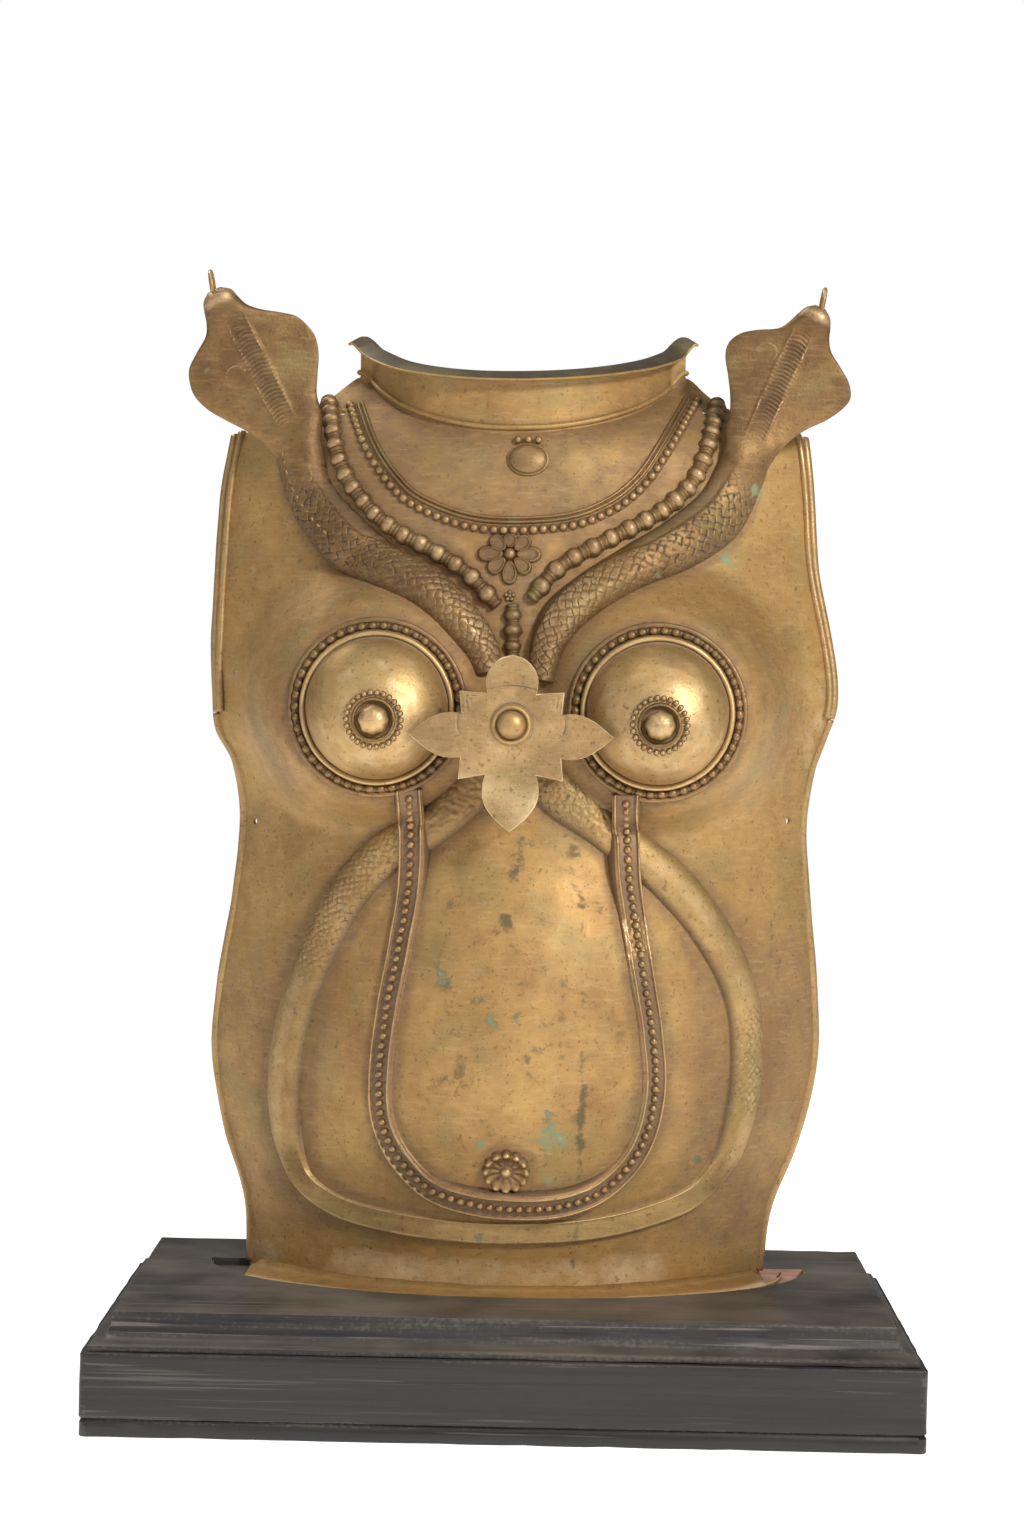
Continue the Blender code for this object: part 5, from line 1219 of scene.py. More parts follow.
for side, label in ((-1, "left"), (1, "right")):
    crown, chased = CROWNS[label], HOOD_ARCS[label]
    neck = on_plate(crown.neck_across, crown.neck_height)
    neck[1] = HOOD_PLACE
    top = on_plate(crown.crown_across, crown.crown_height)
    top[1] = neck[1] - crown.lean
    axis = top - neck
    outward = unit(np.array((-axis[2], 0, axis[0])))
    outward = outward if outward[0] * side > 0 else -outward
    forward = np.array((0, -1.0, 0))
    rings, wear = [], []
    for share in np.linspace(0.995, 0.10, 290):
        out, inn, thick, strip = (float(column(HOOD_SECTIONS, name, share))
                                  for name in (f"{label}_out", f"{label}_in", "thick", "strip"))
        out, inn = HOOD_HALF * out, HOOD_HALF * inn
        middle = neck + axis * share + outward * (out - inn) / 2
        front, rear = flat_oval((out + inn) / 2, HEAD_RISE * thick)
        off = front[:, 0] - (inn - out) / 2
        inside = np.clip((STRIP_HALF - np.abs(off)) / 0.0008, 0, 1)
        line = np.exp(-((np.abs(off) - STRIP_HALF) / 0.0007) ** 2)
        rib = THROAT_RIBS * (share - THROAT_START) / THROAT_LENGTH + 0.7 * (off / STRIP_HALF) ** 2
        bow = 0.5 + 0.5 * np.cos(2 * math.pi * rib)
        front[:, 1] += strip * (STRIP_RISE * line + inside * (0.0012 * bow - 0.0004))
        reach = np.hypot(off - chased.aside, (share - chased.along) * 0.112)
        arc = np.exp(-((reach - ARC_RADIUS) / 0.0005) ** 2) * (share > chased.low)
        front[:, 1] += 0.0004 * arc * (-side * off > 0.004)
        section = np.concatenate([front, rear])
        rings.append(middle + outward * section[:, :1] + forward * section[:, 1:])
        shine = 0.44 + strip * (0.35 * line + inside * (0.34 * bow - 0.36)) + 0.35 * arc
        shine = shine + 0.35 * ease((share - 0.86) / 0.08)
        wear.append(np.concatenate([shine, np.full(REAR, 0.4)]))

    # The body leaves the hood's neck above the sheet and settles on it within a few centimetres.
    rows, length = along(COBRA_BODIES[label], pitch=0.00045)
    spot, _, across, facing = laid(rows)
    walked = np.linspace(0, length, len(rows))
    over = outward
    for i, (at, gone) in enumerate(zip(spot, walked)):
        over = across[i] if across[i] @ over > 0 else -across[i]
        settled = 11 * i / (len(rows) - 1) / 4
        middle = at + (np.array((at[0], HOOD_PLACE, at[2])) - at) * float(ease(1 - settled))
        half, tall = BODY_HALF * rows[i][2], BODY_RISE * rows[i][3]
        front, rear = flat_oval(half, tall)
        around = np.concatenate([[0], np.cumsum(np.linalg.norm(np.diff(front, axis=0), axis=1))])
        around -= around[-1] / 2
        share = front[:, 0] / half
        blend_in = float(ease((gone - 0.006) / 0.03))
        # Toward the necklace a plain raised flange runs beside the scales.
        scaled = np.clip((front[:, 0] + 0.66 * half) / (0.07 * half), 0, 1)
        raised = scales(np.full(FRONT, gone), around, SCALE_PITCH, SCALE_PITCH)
        depth = 0.0008 * blend_in * scaled * np.clip((half - np.abs(front[:, 0])) / (0.12 * half), 0.25, 1)
        flange = blend_in * (1 - scaled)
        rough = noise.noise(Vector((gone * 90, 4 + side, 0))) * 0.0002
        front[:, 1] += depth * (raised - 0.8) + rough
        front[:, 1] *= 1 - 0.16 * flange
        section = np.concatenate([front, rear])
        rings.append(middle + over * section[:, :1] + facing[i] * section[:, 1:])
        # Painted highlight: the body is made lighter toward its lower end, as light on its scales.
        shine = 0.38 + 0.30 * float(ease((gone - 0.06) / 0.10)) - 0.10 * np.abs(share) ** 3
        shine += blend_in * scaled * 0.62 * (raised - 0.80) - 0.10 * flange
        # A row of bright nicks runs down the neck of the left one.
        if side < 0 and gone < 0.062:
            nick = ease(0.5 + 0.9 * math.sin(gone * 2 * math.pi / 0.0058))
            shine += 0.55 * nick * np.exp(-((share - 0.45 + 5 * gone) / 0.045) ** 2)
        wear.append(np.concatenate([shine, np.full(REAR, 0.3)]))
    cobra = skin("cobra", tucked(np.array(rings)), wear)
    finished(cobra, f"cobra_casting_{label}", BROWN_BRASS, f"cobra_{label}")


# The loop on each head: a short length of brass wire bent to an eye and let into the crown, to
# take a cord or a garland.
LOOP_RADIUS = 0.0057
LOOP_HEIGHT = 0.0142
LOOP_WIRE = 0.0015
LOOP_LIFT = 0.0017
LOOP_ASIDE = 0.0045
for side, label in ((-1, "left"), (1, "right")):
    crown = CROWNS[label]
    top = on_plate(crown.crown_across, crown.crown_height)
    middle = (top[0] + side * LOOP_ASIDE, HOOD_PLACE - crown.lean, top[2] + LOOP_LIFT)
    clear()
    bpy.ops.mesh.primitive_torus_add(major_segments=36, minor_segments=12, major_radius=LOOP_RADIUS,
                                     minor_radius=LOOP_WIRE, location=(0, 0, 0), rotation=(0, math.pi / 2, 0))
    eye = bpy.context.object
    bpy.ops.object.transform_apply(location=True, rotation=True, scale=True)
    places = corners_of(eye)
    places[:, 2] *= LOOP_HEIGHT / 2 / LOOP_RADIUS
    places[:, 0] += 0.16 * side * places[:, 2]
    set_corners(eye, places + np.array(middle))
    eye.data.shade_smooth()
    mark(eye, "wear", 0.45 + 0.4 * np.clip(places[:, 2] / LOOP_RADIUS, 0, 1))
    finished(eye, f"head_eye_{label}", ROLL_BRASS, f"head_loop_{label}")


# The snakes' tails: two round bodies beaten up along the sides of the belly, chased with scales
# above and rubbed smooth below, that flatten and run together in one stepped band at the foot.
TAIL_HALF = 0.0130
TAIL_RISE = 0.0085
BAND_RIDGE = 0.0022
BAND_STEP = 0.0036
BAND_FLOOR = 0.0006
TAIL_FOOT = 0.004
TAIL_SCALE_PITCH, TAIL_SCALE_WIDE = 0.0060, 0.0058
SNAKE_TAILS = (
    Coil(-0.089, 0.572, 0.90, 0.90),
    Coil(-0.176, 0.540, 1.00, 1.00),
    Coil(-0.271, 0.512, 1.00, 1.00),
    Coil(-0.380, 0.489, 1.00, 1.00),
    Coil(-0.460, 0.466, 1.05, 1.00),
    Coil(-0.530, 0.436, 1.05, 1.00),
    Coil(-0.590, 0.398, 1.05, 1.00),
    Coil(-0.650, 0.350, 1.02, 1.00),
    Coil(-0.694, 0.306, 1.00, 1.00),
    Coil(-0.724, 0.255, 1.00, 1.00),
    Coil(-0.732, 0.205, 0.95, 0.95),
    Coil(-0.718, 0.158, 0.84, 0.85),
    Coil(-0.665, 0.115, 0.70, 0.65),
    Coil(-0.540, 0.090, 0.62, 0.50),
    Coil(-0.360, 0.080, 0.60, 0.45),
    Coil(-0.150, 0.076, 0.60, 0.45),
    Coil(0.042, 0.076, 0.60, 0.45),
    Coil(0.265, 0.080, 0.60, 0.45),
    Coil(0.460, 0.092, 0.62, 0.50),
    Coil(0.610, 0.112, 0.70, 0.65),
    Coil(0.705, 0.153, 0.84, 0.85),
    Coil(0.750, 0.209, 0.95, 0.95),
    Coil(0.762, 0.262, 1.00, 1.00),
    Coil(0.748, 0.315, 1.00, 1.00),
    Coil(0.715, 0.352, 1.02, 1.00),
    Coil(0.655, 0.391, 1.05, 1.00),
    Coil(0.580, 0.427, 1.05, 1.00),
    Coil(0.493, 0.459, 1.05, 1.00),
    Coil(0.401, 0.484, 1.00, 1.00),
    Coil(0.270, 0.519, 1.00, 1.00),
    Coil(0.148, 0.547, 1.00, 1.00),
    Coil(0.070, 0.573, 0.90, 0.90),
)
TAIL_BRASS = old_brass("rubbed_raised_brass", "#D9BB8C", "#B2925E", "#876843", "#7A6550", 0.44, 0.6, 1.3)

tail_rows, tail_length = along(SNAKE_TAILS, 1700)
tail_spot, _, over, facing = laid(tail_rows)
walked = np.linspace(0, tail_length, len(tail_rows))
a = -np.cos(np.linspace(0, math.pi, 49))
rounded = (1 - np.abs(a) ** 2.4) ** 0.5
ridge_line = np.exp(-((a + 0.90) / 0.07) ** 2)
fade = np.clip((1 - np.abs(a)) / 0.25, 0, 1)
band = (BAND_FLOOR + BAND_RIDGE * ridge_line
        + (BAND_STEP - BAND_FLOOR) * np.clip((a + 0.75) / 1.55, 0, 1)) * ease((1 - np.abs(a)) / 0.06)
rubbed_band = 0.40 + 0.46 * np.exp(-((a + 0.90) / 0.12) ** 2) + 0.30 * np.exp(-((a - 0.80) / 0.12) ** 2)
rings, wear = [], []
for i, (x, height, width, tall) in enumerate(tail_rows):
    flat = float(ease((0.86 - width) / 0.20))
    body = TAIL_RISE * tall * rounded * (1 - flat) + band * flat
    half = TAIL_HALF * width * (1 - 0.08 * flat)
    scaled_from, scaled_to = (0.335, 0.505) if x < 0 else (0.515, 0.58)
    chased = ease((height - scaled_from) / 0.03) * ease((scaled_to - height) / 0.012)
    if x >= 0:
        chased = max(chased, 0.8 * ease((height - 0.195) / 0.02) * ease((0.325 - height) / 0.02))
    hacked = ease((height - 0.500) / 0.02)
    around = a * half * 1.25
    raised = scales(np.full(len(a), walked[i]), around, TAIL_SCALE_PITCH, TAIL_SCALE_WIDE)
    rough = uneven([(walked[i] * 330, b * 330, 7) for b in around])
    soft = uneven([(walked[i] * 45, b * 60, 3) for b in around])
    cuts = 0.0008 * chased * (1 - 0.5 * hacked) * (raised - 0.8)
    body = body + fade * (cuts + 0.0008 * hacked * rough + 0.0004 * soft)
    front = tail_spot[i] + over[i] * (a * half)[:, None] + facing[i] * body[:, None]
    foot = tail_spot[i] + over[i] * np.array([[half], [-half]]) - facing[i] * TAIL_FOOT
    rings.append(np.concatenate([front, foot]))
    ridge = 0.62 * rounded**2 * (1 - flat) + flat * rubbed_band
    shine = 0.12 + ridge * (0.9 - 0.35 * hacked) + 0.5 * chased * fade * (raised - 0.80)
    wear.append(np.concatenate([shine, [0.2, 0.2]]))
finished(skin("tails", tucked(np.array(rings)), wear), "tail_bodies_and_band", TAIL_BRASS, "snake_tails")


# The strap over the belly: a cast band bent to a U, with a rolled rail down each side and a row of
# round beads between, laid over the tails. A break on the right was mended with an overlap.
STRAP_HALF = 0.0077
STRAP_FLOOR = 0.0008
STRAP_RAIL = 0.0026
STRAP_PITCH = 0.0059
STRAP_CLEARANCE = 0.0012
MEND_UP = 0.2745
MEND_TOP = 0.300
MEND_STEP = 0.0009
STRAP_LEFT = 1.16
BELLY_STRAP = (
    Place(-0.341, 0.552),
    Place(-0.329, 0.493),
    Place(-0.333, 0.442),
    Place(-0.362, 0.375),
    Place(-0.395, 0.307),
    Place(-0.413, 0.235),
    Place(-0.396, 0.187),
    Place(-0.335, 0.149),
    Place(-0.220, 0.118),
    Place(-0.007, 0.105),
    Place(0.199, 0.110),
    Place(0.330, 0.132),
    Place(0.420, 0.172),
    Place(0.459, 0.228),
    Place(0.448, 0.290),
    Place(0.405, 0.375),
    Place(0.363, 0.460),
    Place(0.351, 0.552),
)
STRAP_BRASS = old_brass("worn_cast_strap_brass", "#CDAB7C", "#9A7850", "#6F553A", "#776254", 0.38, 0.6, 1.5)


def strap_frames(rows):
    """Along the strap: points lifted over the tails, ways ahead, across and off it, and the lift."""
    spot, _, _, facing = laid(rows)
    kernel = np.ones(9) / 9
    padded = np.concatenate([facing[:1]] * 4 + [facing] + [facing[-1:]] * 4)
    facing = unit(np.stack([np.convolve(padded[:, k], kernel, "valid") for k in range(3)], axis=-1))
    near = np.array([np.min(np.linalg.norm(tail_spot - p, axis=1)) for p in spot])
    over_tail = (TAIL_RISE + STRAP_CLEARANCE) * ease(1 - near / (2.8 * TAIL_HALF))
    forward = np.stack([np.zeros(len(spot)), 1 / facing[:, 1], np.zeros(len(spot))], axis=-1)
    mended = MEND_STEP * ease((spot[:, 2] - MEND_UP) / 0.0012) * (spot[:, 0] > 0)
    spot = spot + forward * over_tail[:, None] + facing * mended[:, None]
    ahead = unit(np.gradient(spot, axis=0))
    across = unit(np.cross(ahead, facing))
    return spot, ahead, across, unit(np.cross(across, ahead)), over_tail + mended


rows, _ = along(BELLY_STRAP, 620)
spot, ahead, across, facing, lift = strap_frames(rows)
a = np.linspace(-STRAP_LEFT, 1.0, 52)
rail = np.clip(1 - ((np.abs(a) - 0.86) / 0.14) ** 2, 0, 1) ** 0.5
second = np.clip(1 - ((a + 1.06) / 0.09) ** 2, 0, 1) ** 0.5
height = STRAP_FLOOR * (np.abs(a) < 0.98) + (STRAP_RAIL - STRAP_FLOOR) * rail + 0.0013 * second
sides = np.array([[STRAP_HALF], [-STRAP_LEFT * STRAP_HALF]])
rings, wear = [], []
for i, at in enumerate(spot):
    wander = 0.0003 * noise.noise(Vector(at * 60))
    torn = float(ease((at[2] - MEND_UP) / 0.001) * ease((MEND_TOP - at[2]) / 0.004)) * (at[0] > 0)
    rough = torn * 0.0008 * uneven([(b * 4, at[2] * 420, 1) for b in a])
    raised = height * (1 - 0.3 * torn) + rough
    tops = at + across[i] * (a * STRAP_HALF + wander)[:, None] + facing[i] * raised[:, None]
    feet = at + across[i] * sides - facing[i] * (0.003 + lift[i])
    rings.append(np.concatenate([tops, feet]))
    wear.append(np.concatenate([0.19 + 0.62 * rail**1.5 + 0.4 * second + 0.3 * torn, [0.12, 0.12]]))
finished(skin("strap", tucked(np.array(rings)), wear), "belly_strap_band", STRAP_BRASS, "belly_strap")

rows, _ = along(BELLY_STRAP, pitch=STRAP_PITCH)
spot, ahead, across, facing, _ = strap_frames(rows)
seats = spot + facing * 0.0012 + across * 0.0005 * uneven(spot, 210)[:, None]
places = list(zip(seats, turns_of(ahead, facing), 1 + 0.16 * uneven(spot, 170)))
beads = strung("strap beads", ball(0.0027, 0.0026, 10, 6, 0.20, 0.70), places[1:-1], 0.004)
finished(beads, "strap_bead_row", STRAP_BRASS, "strap_beads")


# The breast cups: thin domes spun or beaten from sheet and soldered on, each with a rolled rim in
# a ring of beads, and on top a sunk seat with a small bead ring round a faceted stud.
CUP_RADIUS = 0.0425
CUP_RISE = 0.029
CUP_STAND = 0.004
CUP_LEAN = 0.0005
CUP_DROP = 0.007
RIM_RADIUS = 0.0448
RIM_ROLL = 0.0017
BEAD_RING = 0.0491
CUP_BEAD = 0.0025
OUTER_RAIL = 0.0527
NIPPLE_RING = 0.0165
STUD_RADIUS = 0.0088
STUD_RISE = 0.010
Dent = namedtuple("Dent", "px py reach depth")
CUP_DENTS = {"left": Dent(392, 663, 0.003, 0.0005), "right": Dent(617, 668, 0.006, 0.0009)}
CUP_BRASS = old_brass("polished_cup_brass", "#DABD90", "#BB9962", "#94744A", "#85735F", 0.40, 0.45, 0.9, 0.68)


def tipped(centre, lean, ahead_by):
    """The middle of a round form's section, moved across and up as the form leans forward."""
    return (centre[0] + lean[0] * ahead_by / CUP_RISE, centre[1] - ahead_by,
            centre[2] + lean[1] * ahead_by / CUP_RISE)


def wheel(name, profile, centre, lean, steps, wobble, facets=0.0):
    """A round form facing forward: profile points are radius, place forward and how worn it is."""
    turns = turns_round(steps)
    rings, shine = [], []
    for radius, ahead_by, worn in profile:
        shift = uneven([(math.cos(t) * 3, math.sin(t) * 3, radius * 300) for t in turns])
        reach = radius * (1 - facets * (0.5 - 0.5 * np.cos(8 * turns))) + wobble * shift
        x, y, z = tipped(centre, lean, ahead_by)
        ring = [x + reach * np.cos(turns), y + 0.4 * wobble * shift, z + reach * np.sin(turns)]
        rings.append(np.stack(ring, axis=-1))
        shine.append(worn * (1 + 0.15 * shift))
    return skin(name, rings, shine)


def rolled(radius, ahead_by, half, rise, dull, bright, first, last, count):
    """Profile points of a rolled line on a round form, brightest on its ridge."""
    return [(radius + half * math.cos(t), ahead_by + rise * math.sin(t), dull + bright * max(math.sin(t), 0))
            for t in np.linspace(first, last, count)]


def ring_of(name, bead, centre, lean, radius, ahead_by, count):
    """A ring of like beads facing forward, each turned along the ring."""
    places = []
    x, y, z = tipped(centre, lean, ahead_by)
    for n in range(count):
        t = 2 * math.pi * n / count
        spot = np.array((x + radius * math.cos(t), y, z + radius * math.sin(t)))
        turn = np.array([[-math.sin(t), 0, math.cos(t)], [-math.cos(t), 0, -math.sin(t)], [0, -1, 0]]).T
        places.append((spot, turn, 1 + 0.13 * noise.noise(Vector(spot) * 160)))
    return strung(name, bead, places, 0.02)


for side, label in ((-1, "left"), (1, "right")):
    centre = np.array((side * CUP_ACROSS, -CUP_PLANE - CUP_STAND, CUP_UP))
    lean = (side * CUP_LEAN, -CUP_DROP)
    dome = [(0.0003, CUP_RISE - 0.0036, 0.1), (0.0088, CUP_RISE - 0.0036, 0.16),
            (0.0096, CUP_RISE - 0.0030, 0.36), (0.0112, CUP_RISE - 0.0016, 0.36)]
    for t in np.radians(np.linspace(17, 83, 26)):
        shine = 0.50 + 0.22 * math.cos(t) - 0.3 * float(ease((t - 1.25) / 0.2))
        dome.append((CUP_RADIUS * math.sin(t), CUP_RISE * math.cos(t), shine))
    rim = [(RIM_RADIUS - RIM_ROLL, -0.0006, 0.05)]
    rim += rolled(RIM_RADIUS, 0.0008, -RIM_ROLL, RIM_ROLL, 0.22, 0.55, -0.5, math.pi, 12)
    back = [(RIM_RADIUS + RIM_ROLL, -0.0038, 0.1), (CUP_RADIUS - WALL, -0.0038, 0.1)]
    back += [((CUP_RADIUS - WALL) * math.sin(t), (CUP_RISE - WALL) * math.cos(t) - 0.001, 0.2)
             for t in np.linspace(1.40, 0.02, 8)]
    cup = wheel("cup", dome + rim + back, centre, lean, 128, 0.00025)
    places = corners_of(cup)
    # Knocks from long ago: a shallow dent high on the right cup and a pit on the left one.
    dent = CUP_DENTS[label]
    spot = under_pixel(dent.px, dent.py)
    spot = spot + (EYE - spot) * 0.010
    far = np.hypot(places[:, 0] - spot[0], places[:, 2] - spot[2])
    places[:, 1] += dent.depth * np.exp(-(far / dent.reach) ** 2)
    set_corners(cup, places)
    finished(cup, f"cup_dome_{label}", CUP_BRASS, f"cup_{label}")

    foot = np.array((side * CUP_ACROSS, -CUP_PLANE, CUP_UP))
    beads = ring_of("beads", ball(CUP_BEAD, 0.0028, 10, 6, 0.26, 0.60), foot, (0, 0), BEAD_RING, 0.0024, 46)
    bed = [(0.0463, -0.001, 0.1), (0.0466, 0.0013, 0.30), (0.0500, 0.0015, 0.34)]
    bed += rolled(OUTER_RAIL, 0.0009, 0.0016, 0.0012, 0.20, 0.32, math.pi, -0.4, 9)
    bed += [(OUTER_RAIL + 0.0013, -0.0018, 0.1), (0.0463, -0.0012, 0.1)]
    bed = wheel("bed", bed, foot, (0, 0), 128, 0.0003)
    finished(joined(beads, bed), f"cup_bead_ring_{label}", STRAP_BRASS, f"cup_beads_{label}")

    forward = CUP_RISE * math.sqrt(1 - (NIPPLE_RING / CUP_RADIUS) ** 2) + 0.0020
    small = ring_of("small", ball(0.0019, 0.0018, 10, 6, 0.30, 0.74), centre, lean, 0.0162, forward, 26)
    inner = [(0.0110, CUP_RISE - 0.0040, 0.1)]
    inner += rolled(0.0121, CUP_RISE - 0.0010, 0.0011, 0.0012, 0.2, 0.42, math.pi, 0, 8)
    inner += [(0.0134, CUP_RISE - 0.0050, 0.1)]
    outer = [(0.0181, CUP_RISE * 0.80, 0.1)]
    outer += rolled(0.0187, CUP_RISE * 0.880, 0.0006, 0.0004, 0.3, 0.2, math.pi, 0, 7)
    outer += [(0.0197, CUP_RISE * 0.80, 0.1)]
    lips = [wheel("lip", lip, centre, lean, 64, 0.0002) for lip in (inner, outer)]
    finished(joined(small, *lips), f"nipple_bead_ring_{label}", STRAP_BRASS, f"nipple_beads_{label}")

    knob = [(0.22, 0.990, 0.78), (0.45, 0.955, 0.76), (0.68, 0.87, 0.74), (0.86, 0.73, 0.70),
            (0.97, 0.55, 0.58), (1.00, 0.36, 0.45), (1.00, 0.10, 0.2), (1.00, -0.30, 0.05)]
    knob = [(0.0002, STUD_RISE, 0.78)] + [(r * STUD_RADIUS, f * STUD_RISE, w) for r, f, w in knob]
    tip = centre + np.array((lean[0], -CUP_RISE - 0.0002, lean[1]))
    stud = wheel("stud", knob, tip, (0, 0), 48, 0.0004, facets=0.05)
    finished(stud, f"nipple_knob_{label}", CUP_BRASS, f"nipple_stud_{label}")


# The flower between the cups: cut from brass plate and filed, standing clear of the chest on a
# riveted post, with a scribed circle round its boss. Its filed edges catch the light.
STAR_REACH = 0.061
STAR_THICK = 0.0025
STAR_DROP = 0.0065
STAR_BACK = 0.0885
STAR_STUD = 0.0085
STAR_POST = 0.0042
STAR_SCRIBE = 0.0320
Lobe = namedtuple("Lobe", "along aside")
SIDE_LOBE = (Lobe(0.49, 0.213), Lobe(0.58, 0.222), Lobe(0.68, 0.208), Lobe(0.78, 0.166), Lobe(0.88, 0.098),
             Lobe(0.95, 0.040), Lobe(1.00, 0.000))
TOP_LOBE = (Lobe(0.41, 0.238), Lobe(0.48, 0.252), Lobe(0.56, 0.252), Lobe(0.64, 0.224), Lobe(0.71, 0.166),
            Lobe(0.76, 0.095), Lobe(0.785, 0.000))
FOOT_LOBE = (Lobe(0.38, 0.250), Lobe(0.48, 0.272), Lobe(0.60, 0.272), Lobe(0.70, 0.232), Lobe(0.79, 0.165),
             Lobe(0.87, 0.080), Lobe(0.93, 0.000))
STAR_LOBES = (SIDE_LOBE, TOP_LOBE, SIDE_LOBE, FOOT_LOBE)
STAR_CORNERS = ((0.51, 0.43), (-0.51, 0.43), (-0.51, -0.43), (0.51, -0.43))
STAR_BORE = 0.0046
STAR_BRASS = old_brass("filed_plate_brass", "#DFC59A", "#BF9F6F", "#8C6F4A", "#8C7967", 0.48, 0.85, 1.6)


def swung(u, v, quarter):
    """A point of a lobe, turned by quarters of a circle."""
    turn = quarter * math.pi / 2
    return u * math.cos(turn) - v * math.sin(turn), u * math.sin(turn) + v * math.cos(turn)


def between(start, end, share):
    """A point at a share of the way from one point to another."""
    return start[0] + (end[0] - start[0]) * share, start[1] + (end[1] - start[1]) * share


middle = on_plate(-0.016, 0.625)
outline = []
for quarter, corner in enumerate(STAR_CORNERS):
    lobe, following = STAR_LOBES[quarter], (quarter + 1) % 4
    share = np.sin(np.linspace(0, math.pi / 2, 34))
    reach = lobe[0].along + (lobe[-1].along - lobe[0].along) * share
    aside_by = np.maximum(column(lobe, "aside", reach), 0)
    half = list(zip(reach, -aside_by)) + list(zip(reach[::-1][1:], aside_by[::-1][1:]))
    outline += [swung(u, v, quarter) for u, v in half]
    start, last = outline[-1], STAR_LOBES[following][0]
    outline += [between(start, corner, share) for share in (0.33, 0.66, 1.0)]
    outline += [between(corner, swung(last.along, -last.aside, following), share) for share in (0.33, 0.66)]
outline = np.array(outline) * STAR_REACH - np.array((0, STAR_DROP))
reach = np.linalg.norm(outline, axis=1)
ways = outline / reach[:, None]

# The plate is laid in rings from its bore to its filed edge, over the edge, and back behind.
Level = namedtuple("Level", "share inward down")
levels = [Level(share, 0.0009, 0.0) for share in np.linspace(0, 1, 110)]
levels += [Level(1.0, 0.0004, 0.0003), Level(1.0, 0.0, 0.0009), Level(1.0, 0.0, 0.0019),
           Level(1.0, 0.0005, 0.0024), Level(0.5, 0.0005, STAR_THICK), Level(0.0, 0.0005, STAR_THICK)]
rings, wear = [], []
for share, inward, down in levels:
    far = STAR_BORE + (reach - inward - STAR_BORE) * share
    flat = ways * far[:, None]
    below = -flat[:, 1]
    ring = np.hypot(flat[:, 0], (flat[:, 1] - 0.0010) * 1.44) - STAR_SCRIBE
    scribe = np.exp(-(ring / 0.0007) ** 2) * (down == 0) * ease((flat[:, 1] + 0.012) / 0.010)
    soft = uneven([(x * 40, z * 40, 2) for x, z in flat])
    bent = 0.0012 * np.clip((far - 0.030) / 0.030, 0, 1) ** 2
    bent = bent - 0.0035 * np.clip((below - 0.026) / 0.030, 0, 1) ** 1.5
    y = -STAR_BACK - STAR_THICK + down + 0.0005 * scribe - 0.0005 * soft + bent
    rings.append(np.stack([middle[0] + flat[:, 0], y, middle[2] + flat[:, 1]], axis=-1))
    # Painted highlight: the lower lobe, bent forward, is made lighter, as light falls on it.
    wear.append(0.52 + 0.45 * (0 < down < 0.0015) - 0.50 * scribe + 0.26 * soft
                + 0.16 * ease((below - 0.024) / 0.014) - 0.30 * ease((0.0155 - far) / 0.003))
star = skin("star", rings[::-1], wear[::-1])
bpy.ops.object.mode_set(mode="EDIT")
pick("FACE", lambda m: math.hypot(m.x - middle[0], m.z - middle[2]) < 0.001)
bpy.ops.mesh.delete(type="FACE")
face_outward()
finished(star, "cut_flower", STAR_BRASS, "star_flower")

seat = np.array((middle[0], -STAR_BACK, middle[2]))
face = STAR_THICK + 0.0003
knob = [(0.25, 0.985, 0.42), (0.5, 0.92, 0.46), (0.72, 0.80, 0.42), (0.88, 0.64, 0.4), (0.96, 0.46, 0.34),
        (0.94, 0.30, 0.3), (0.84, 0.14, 0.06), (0.92, 0.06, 0.02)]
knob = [(0.0002, face + STAR_STUD, 0.4)] + [(r * STAR_STUD, face + f * STAR_STUD, w) for r, f, w in knob]
washer = rolled(0.0104, face + 0.0004, 0.0014, 0.0011, 0.10, 0.48, math.pi, 0, 8)
post = [(0.0127, face + 0.0003, 0.4), (0.0127, face, 0.3), (STAR_POST, face, 0.2), (STAR_POST, -0.0003, 0.2),
        (1.5 * STAR_POST, -0.0003, 0.3), (1.5 * STAR_POST, -(STAR_BACK + middle[1]) - 0.0010, 0.3)]
boss = wheel("stud", knob + washer + post, seat, (0, 0), 64, 0.00015)
finished(boss, "flower_boss_and_post", CUP_BRASS, "star_stud")


# The flange at the foot: a crescent of brass plate turned forward from the sheet and let into the
# seat in the board, its front edge hammered thin and uneven.
FLANGE_HALF = 0.1874
FLANGE_RIGHT = 0.93
FLANGE_REACH = 0.1128
FLANGE_BACK = 0.0534
FLANGE_TOP = 0.0031
FLANGE_TURN_UP = 0.0044
turns = np.linspace(0, math.pi, 181)
x = FLANGE_HALF * np.cos(turns) * np.where(np.cos(turns) > 0, FLANGE_RIGHT, 1.0)
y = FLANGE_BACK - FLANGE_REACH * np.sin(turns)
sheet_front = np.where(np.abs(x) < half_width(0.02, x), plate_y(x, np.full(len(x), FOOT + 0.006)), 1.0)
inner = np.minimum(sheet_front - 0.0001, FLANGE_BACK)
inner = np.where(inner > FLANGE_BACK - 0.001, y + 0.002, inner)
inner = np.maximum(inner, y + 0.0015)
ragged = uneven([(a * 40, b * 40, 5) for a, b in zip(x, y)]) * 0.0006
highest = FLANGE_TOP + FLANGE_TURN_UP * ease((half_width(0.02, x) - 0.002 - np.abs(x)) / 0.006)
Step = namedtuple("Step", "share height wear")
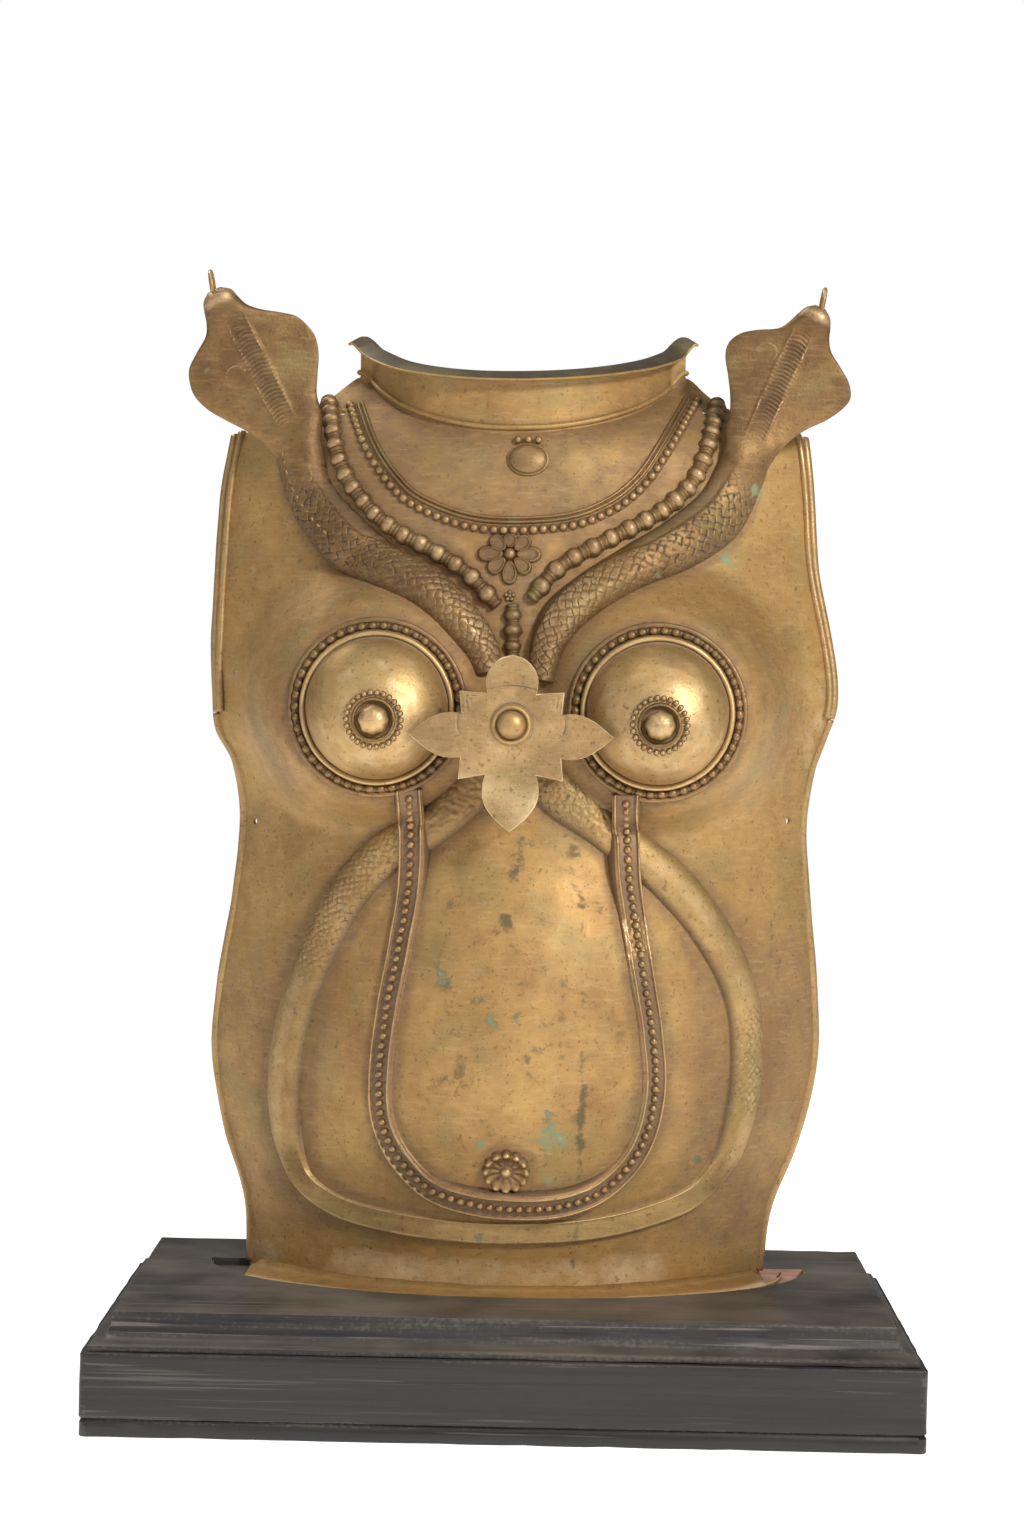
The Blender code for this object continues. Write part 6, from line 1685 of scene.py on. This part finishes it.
FLANGE_SECTION = (
    Step(0.0, 0.0001, 0.3), Step(0.0, 0.0022, 0.8), Step(0.10, 0.0030, 0.95), Step(0.35, 0.0031, 0.6),
    Step(0.70, 0.0034, 0.4), Step(0.93, 0.0044, 0.35), Step(1.0, 0.0075, 0.4), Step(1.0, 0.0001, 0.2),
)
rings = np.stack([np.stack([x * (1 - 0.001 * share), y + (inner - y) * share,
                            FOOT + np.minimum(height, highest) + ragged * (height > 0.001)], axis=-1)
                  for share, height, _ in FLANGE_SECTION], axis=1)
flange = skin("flange", rings, np.broadcast_to([step.wear for step in FLANGE_SECTION], rings.shape[:2]))
finished(flange, "foot_crescent", SHEET_BRASS, "foot_flange")


# A hundred years of tarnish on the finished plate: grey dust packed beside every ornament, brown
# runs down the belly, ink-dark stains and a few crusts of green copper salts. Painted shade
# darkens the sheet's lower sides and painted light brightens its foot.
BORDERS = ("chest_sheet", "hip_roll", "armhole", "foot_crescent", "cut_flower")
brasses = [piece for piece in bpy.context.scene.objects if piece.type == "MESH" and piece.data.materials
           and "brass" in piece.data.materials[0].name]
ornaments = np.concatenate([corners_of(piece)[::5] for piece in brasses
                            if not any(border in piece.name for border in BORDERS)])
ornaments = ornaments[ornaments[:, 1] < 0.07]
near = KDTree(len(ornaments))
for i, place in enumerate(ornaments):
    near.insert(place, i)
near.balance()
places = corners_of(sheet)
across, up = np.abs(places[:, 0]), places[:, 2]
front = np.abs(places[:, 1] - plate_y(places[:, 0], up)) < 0.0014
far = np.array([near.find(place)[2] if ahead else 1.0 for place, ahead in zip(places, front)])
broad = uneven(places, 14)
crowded = np.exp(-np.maximum(far - 0.0008, 0) / (0.0058 + 0.0030 * broad))
chest = 0.27 * ease((up - 0.515) / 0.03) * ease((0.11 - across) / 0.02)
# Painted light: the sheet is made lighter near its foot, as light falls on it.
low = 0.30 * ease((0.100 - up) / 0.02)
# Painted shade: the lower sides of the sheet are made darker, the right more than the left.
hip_shade = np.where(places[:, 0] > 0, 0.34, 0.22) * ease((0.34 - up) / 0.08) * ease((across - 0.085) / 0.04)
wear = 0.52 + 0.14 * broad + 0.07 * uneven(places, 70) - 0.52 * crowded - chest - hip_shade + low
mark(sheet, "wear", np.maximum(wear, 0.17))
for piece in brasses:
    places = corners_of(piece)
    stain, salts = stained(places)
    belly = np.hypot(places[:, 0] / 0.085, (places[:, 2] - 0.235) / 0.15)
    mark(piece, "stain", np.maximum(stain, 0.22 * ease(1.4 - belly)))
    mark(piece, "salts", salts)


# A pale paper sweep under the plinth and studio light: a small key to the upper right, weak fills
# from the left, from overhead and from behind. The white ground shows only to the lens.
bpy.ops.mesh.primitive_plane_add(size=8, location=(0, 0, 0))
floor = bpy.context.object
floor.name = "paper_floor"
paper = bpy.data.materials.new("white_paper")
paper.use_nodes = True
shader = paper.node_tree.nodes["Principled BSDF"]
for socket, value in (("Base Color", linear("#F6F4F1")), ("Roughness", 0.9), ("Emission Color", (1, 1, 1, 1)),
                      ("Emission Strength", 0.80)):
    shader.inputs[socket].default_value = value
floor.data.materials.append(paper)

world = bpy.data.worlds.new("studio")
bpy.context.scene.world = world
world.use_nodes = True
tree = world.node_tree
seen = node(tree, "LightPath").outputs["Is Camera Ray"]
way = node(tree, "TexCoord").outputs["Generated"]
height = node(tree, "SeparateXYZ", {"Vector": way}).outputs["Z"]
light = node(tree, "MapRange", {"Value": height, "From Min": -0.6, "From Max": 0.8, "To Min": 0.21,
                                "To Max": 0.36}).outputs["Result"]
depth = node(tree, "SeparateXYZ", {"Vector": way}).outputs["Y"]
depth = node(tree, "MapRange", {"Value": depth, "From Min": -1, "From Max": 1, "To Min": 1.05,
                                "To Max": 0.5}).outputs["Result"]
light = node(tree, "Math", {0: light, 1: depth}, operation="MULTIPLY").outputs[0]
around = node(tree, "Mix", {"Factor": seen, 6: light, 7: (1, 1, 1, 1)}, data_type="RGBA").outputs[2]
tree.links.new(around, tree.nodes["Background"].inputs["Color"])


def softbox(name, place, aim, size, watts, tint=(1, 1, 1)):
    """A square studio light, facing its aim."""
    clear()
    bpy.ops.object.light_add(type="AREA", location=place)
    lamp = bpy.context.object
    lamp.name = name
    lamp.data.shape = "RECTANGLE"
    lamp.data.size, lamp.data.size_y = size
    lamp.data.energy = watts
    lamp.data.color = tint
    lamp.rotation_euler = (Vector(aim) - Vector(place)).to_track_quat("-Z", "Y").to_euler()


softbox("key", (1.14, -1.63, 1.38), (0, 0, 0.36), (0.32, 0.32), 39, (1.0, 0.985, 0.96))
softbox("fill", (-1.3, -1.3, 1.15), (0, 0, 0.36), (0.9, 0.9), 3, (0.98, 0.99, 1.0))
softbox("overhead", (-0.25, -0.85, 1.95), (0, 0, 0.3), (0.5, 0.4), 4)
softbox("behind", (-0.80, 0.50, 1.75), (0, 0, 0.4), (0.35, 0.35), 8)
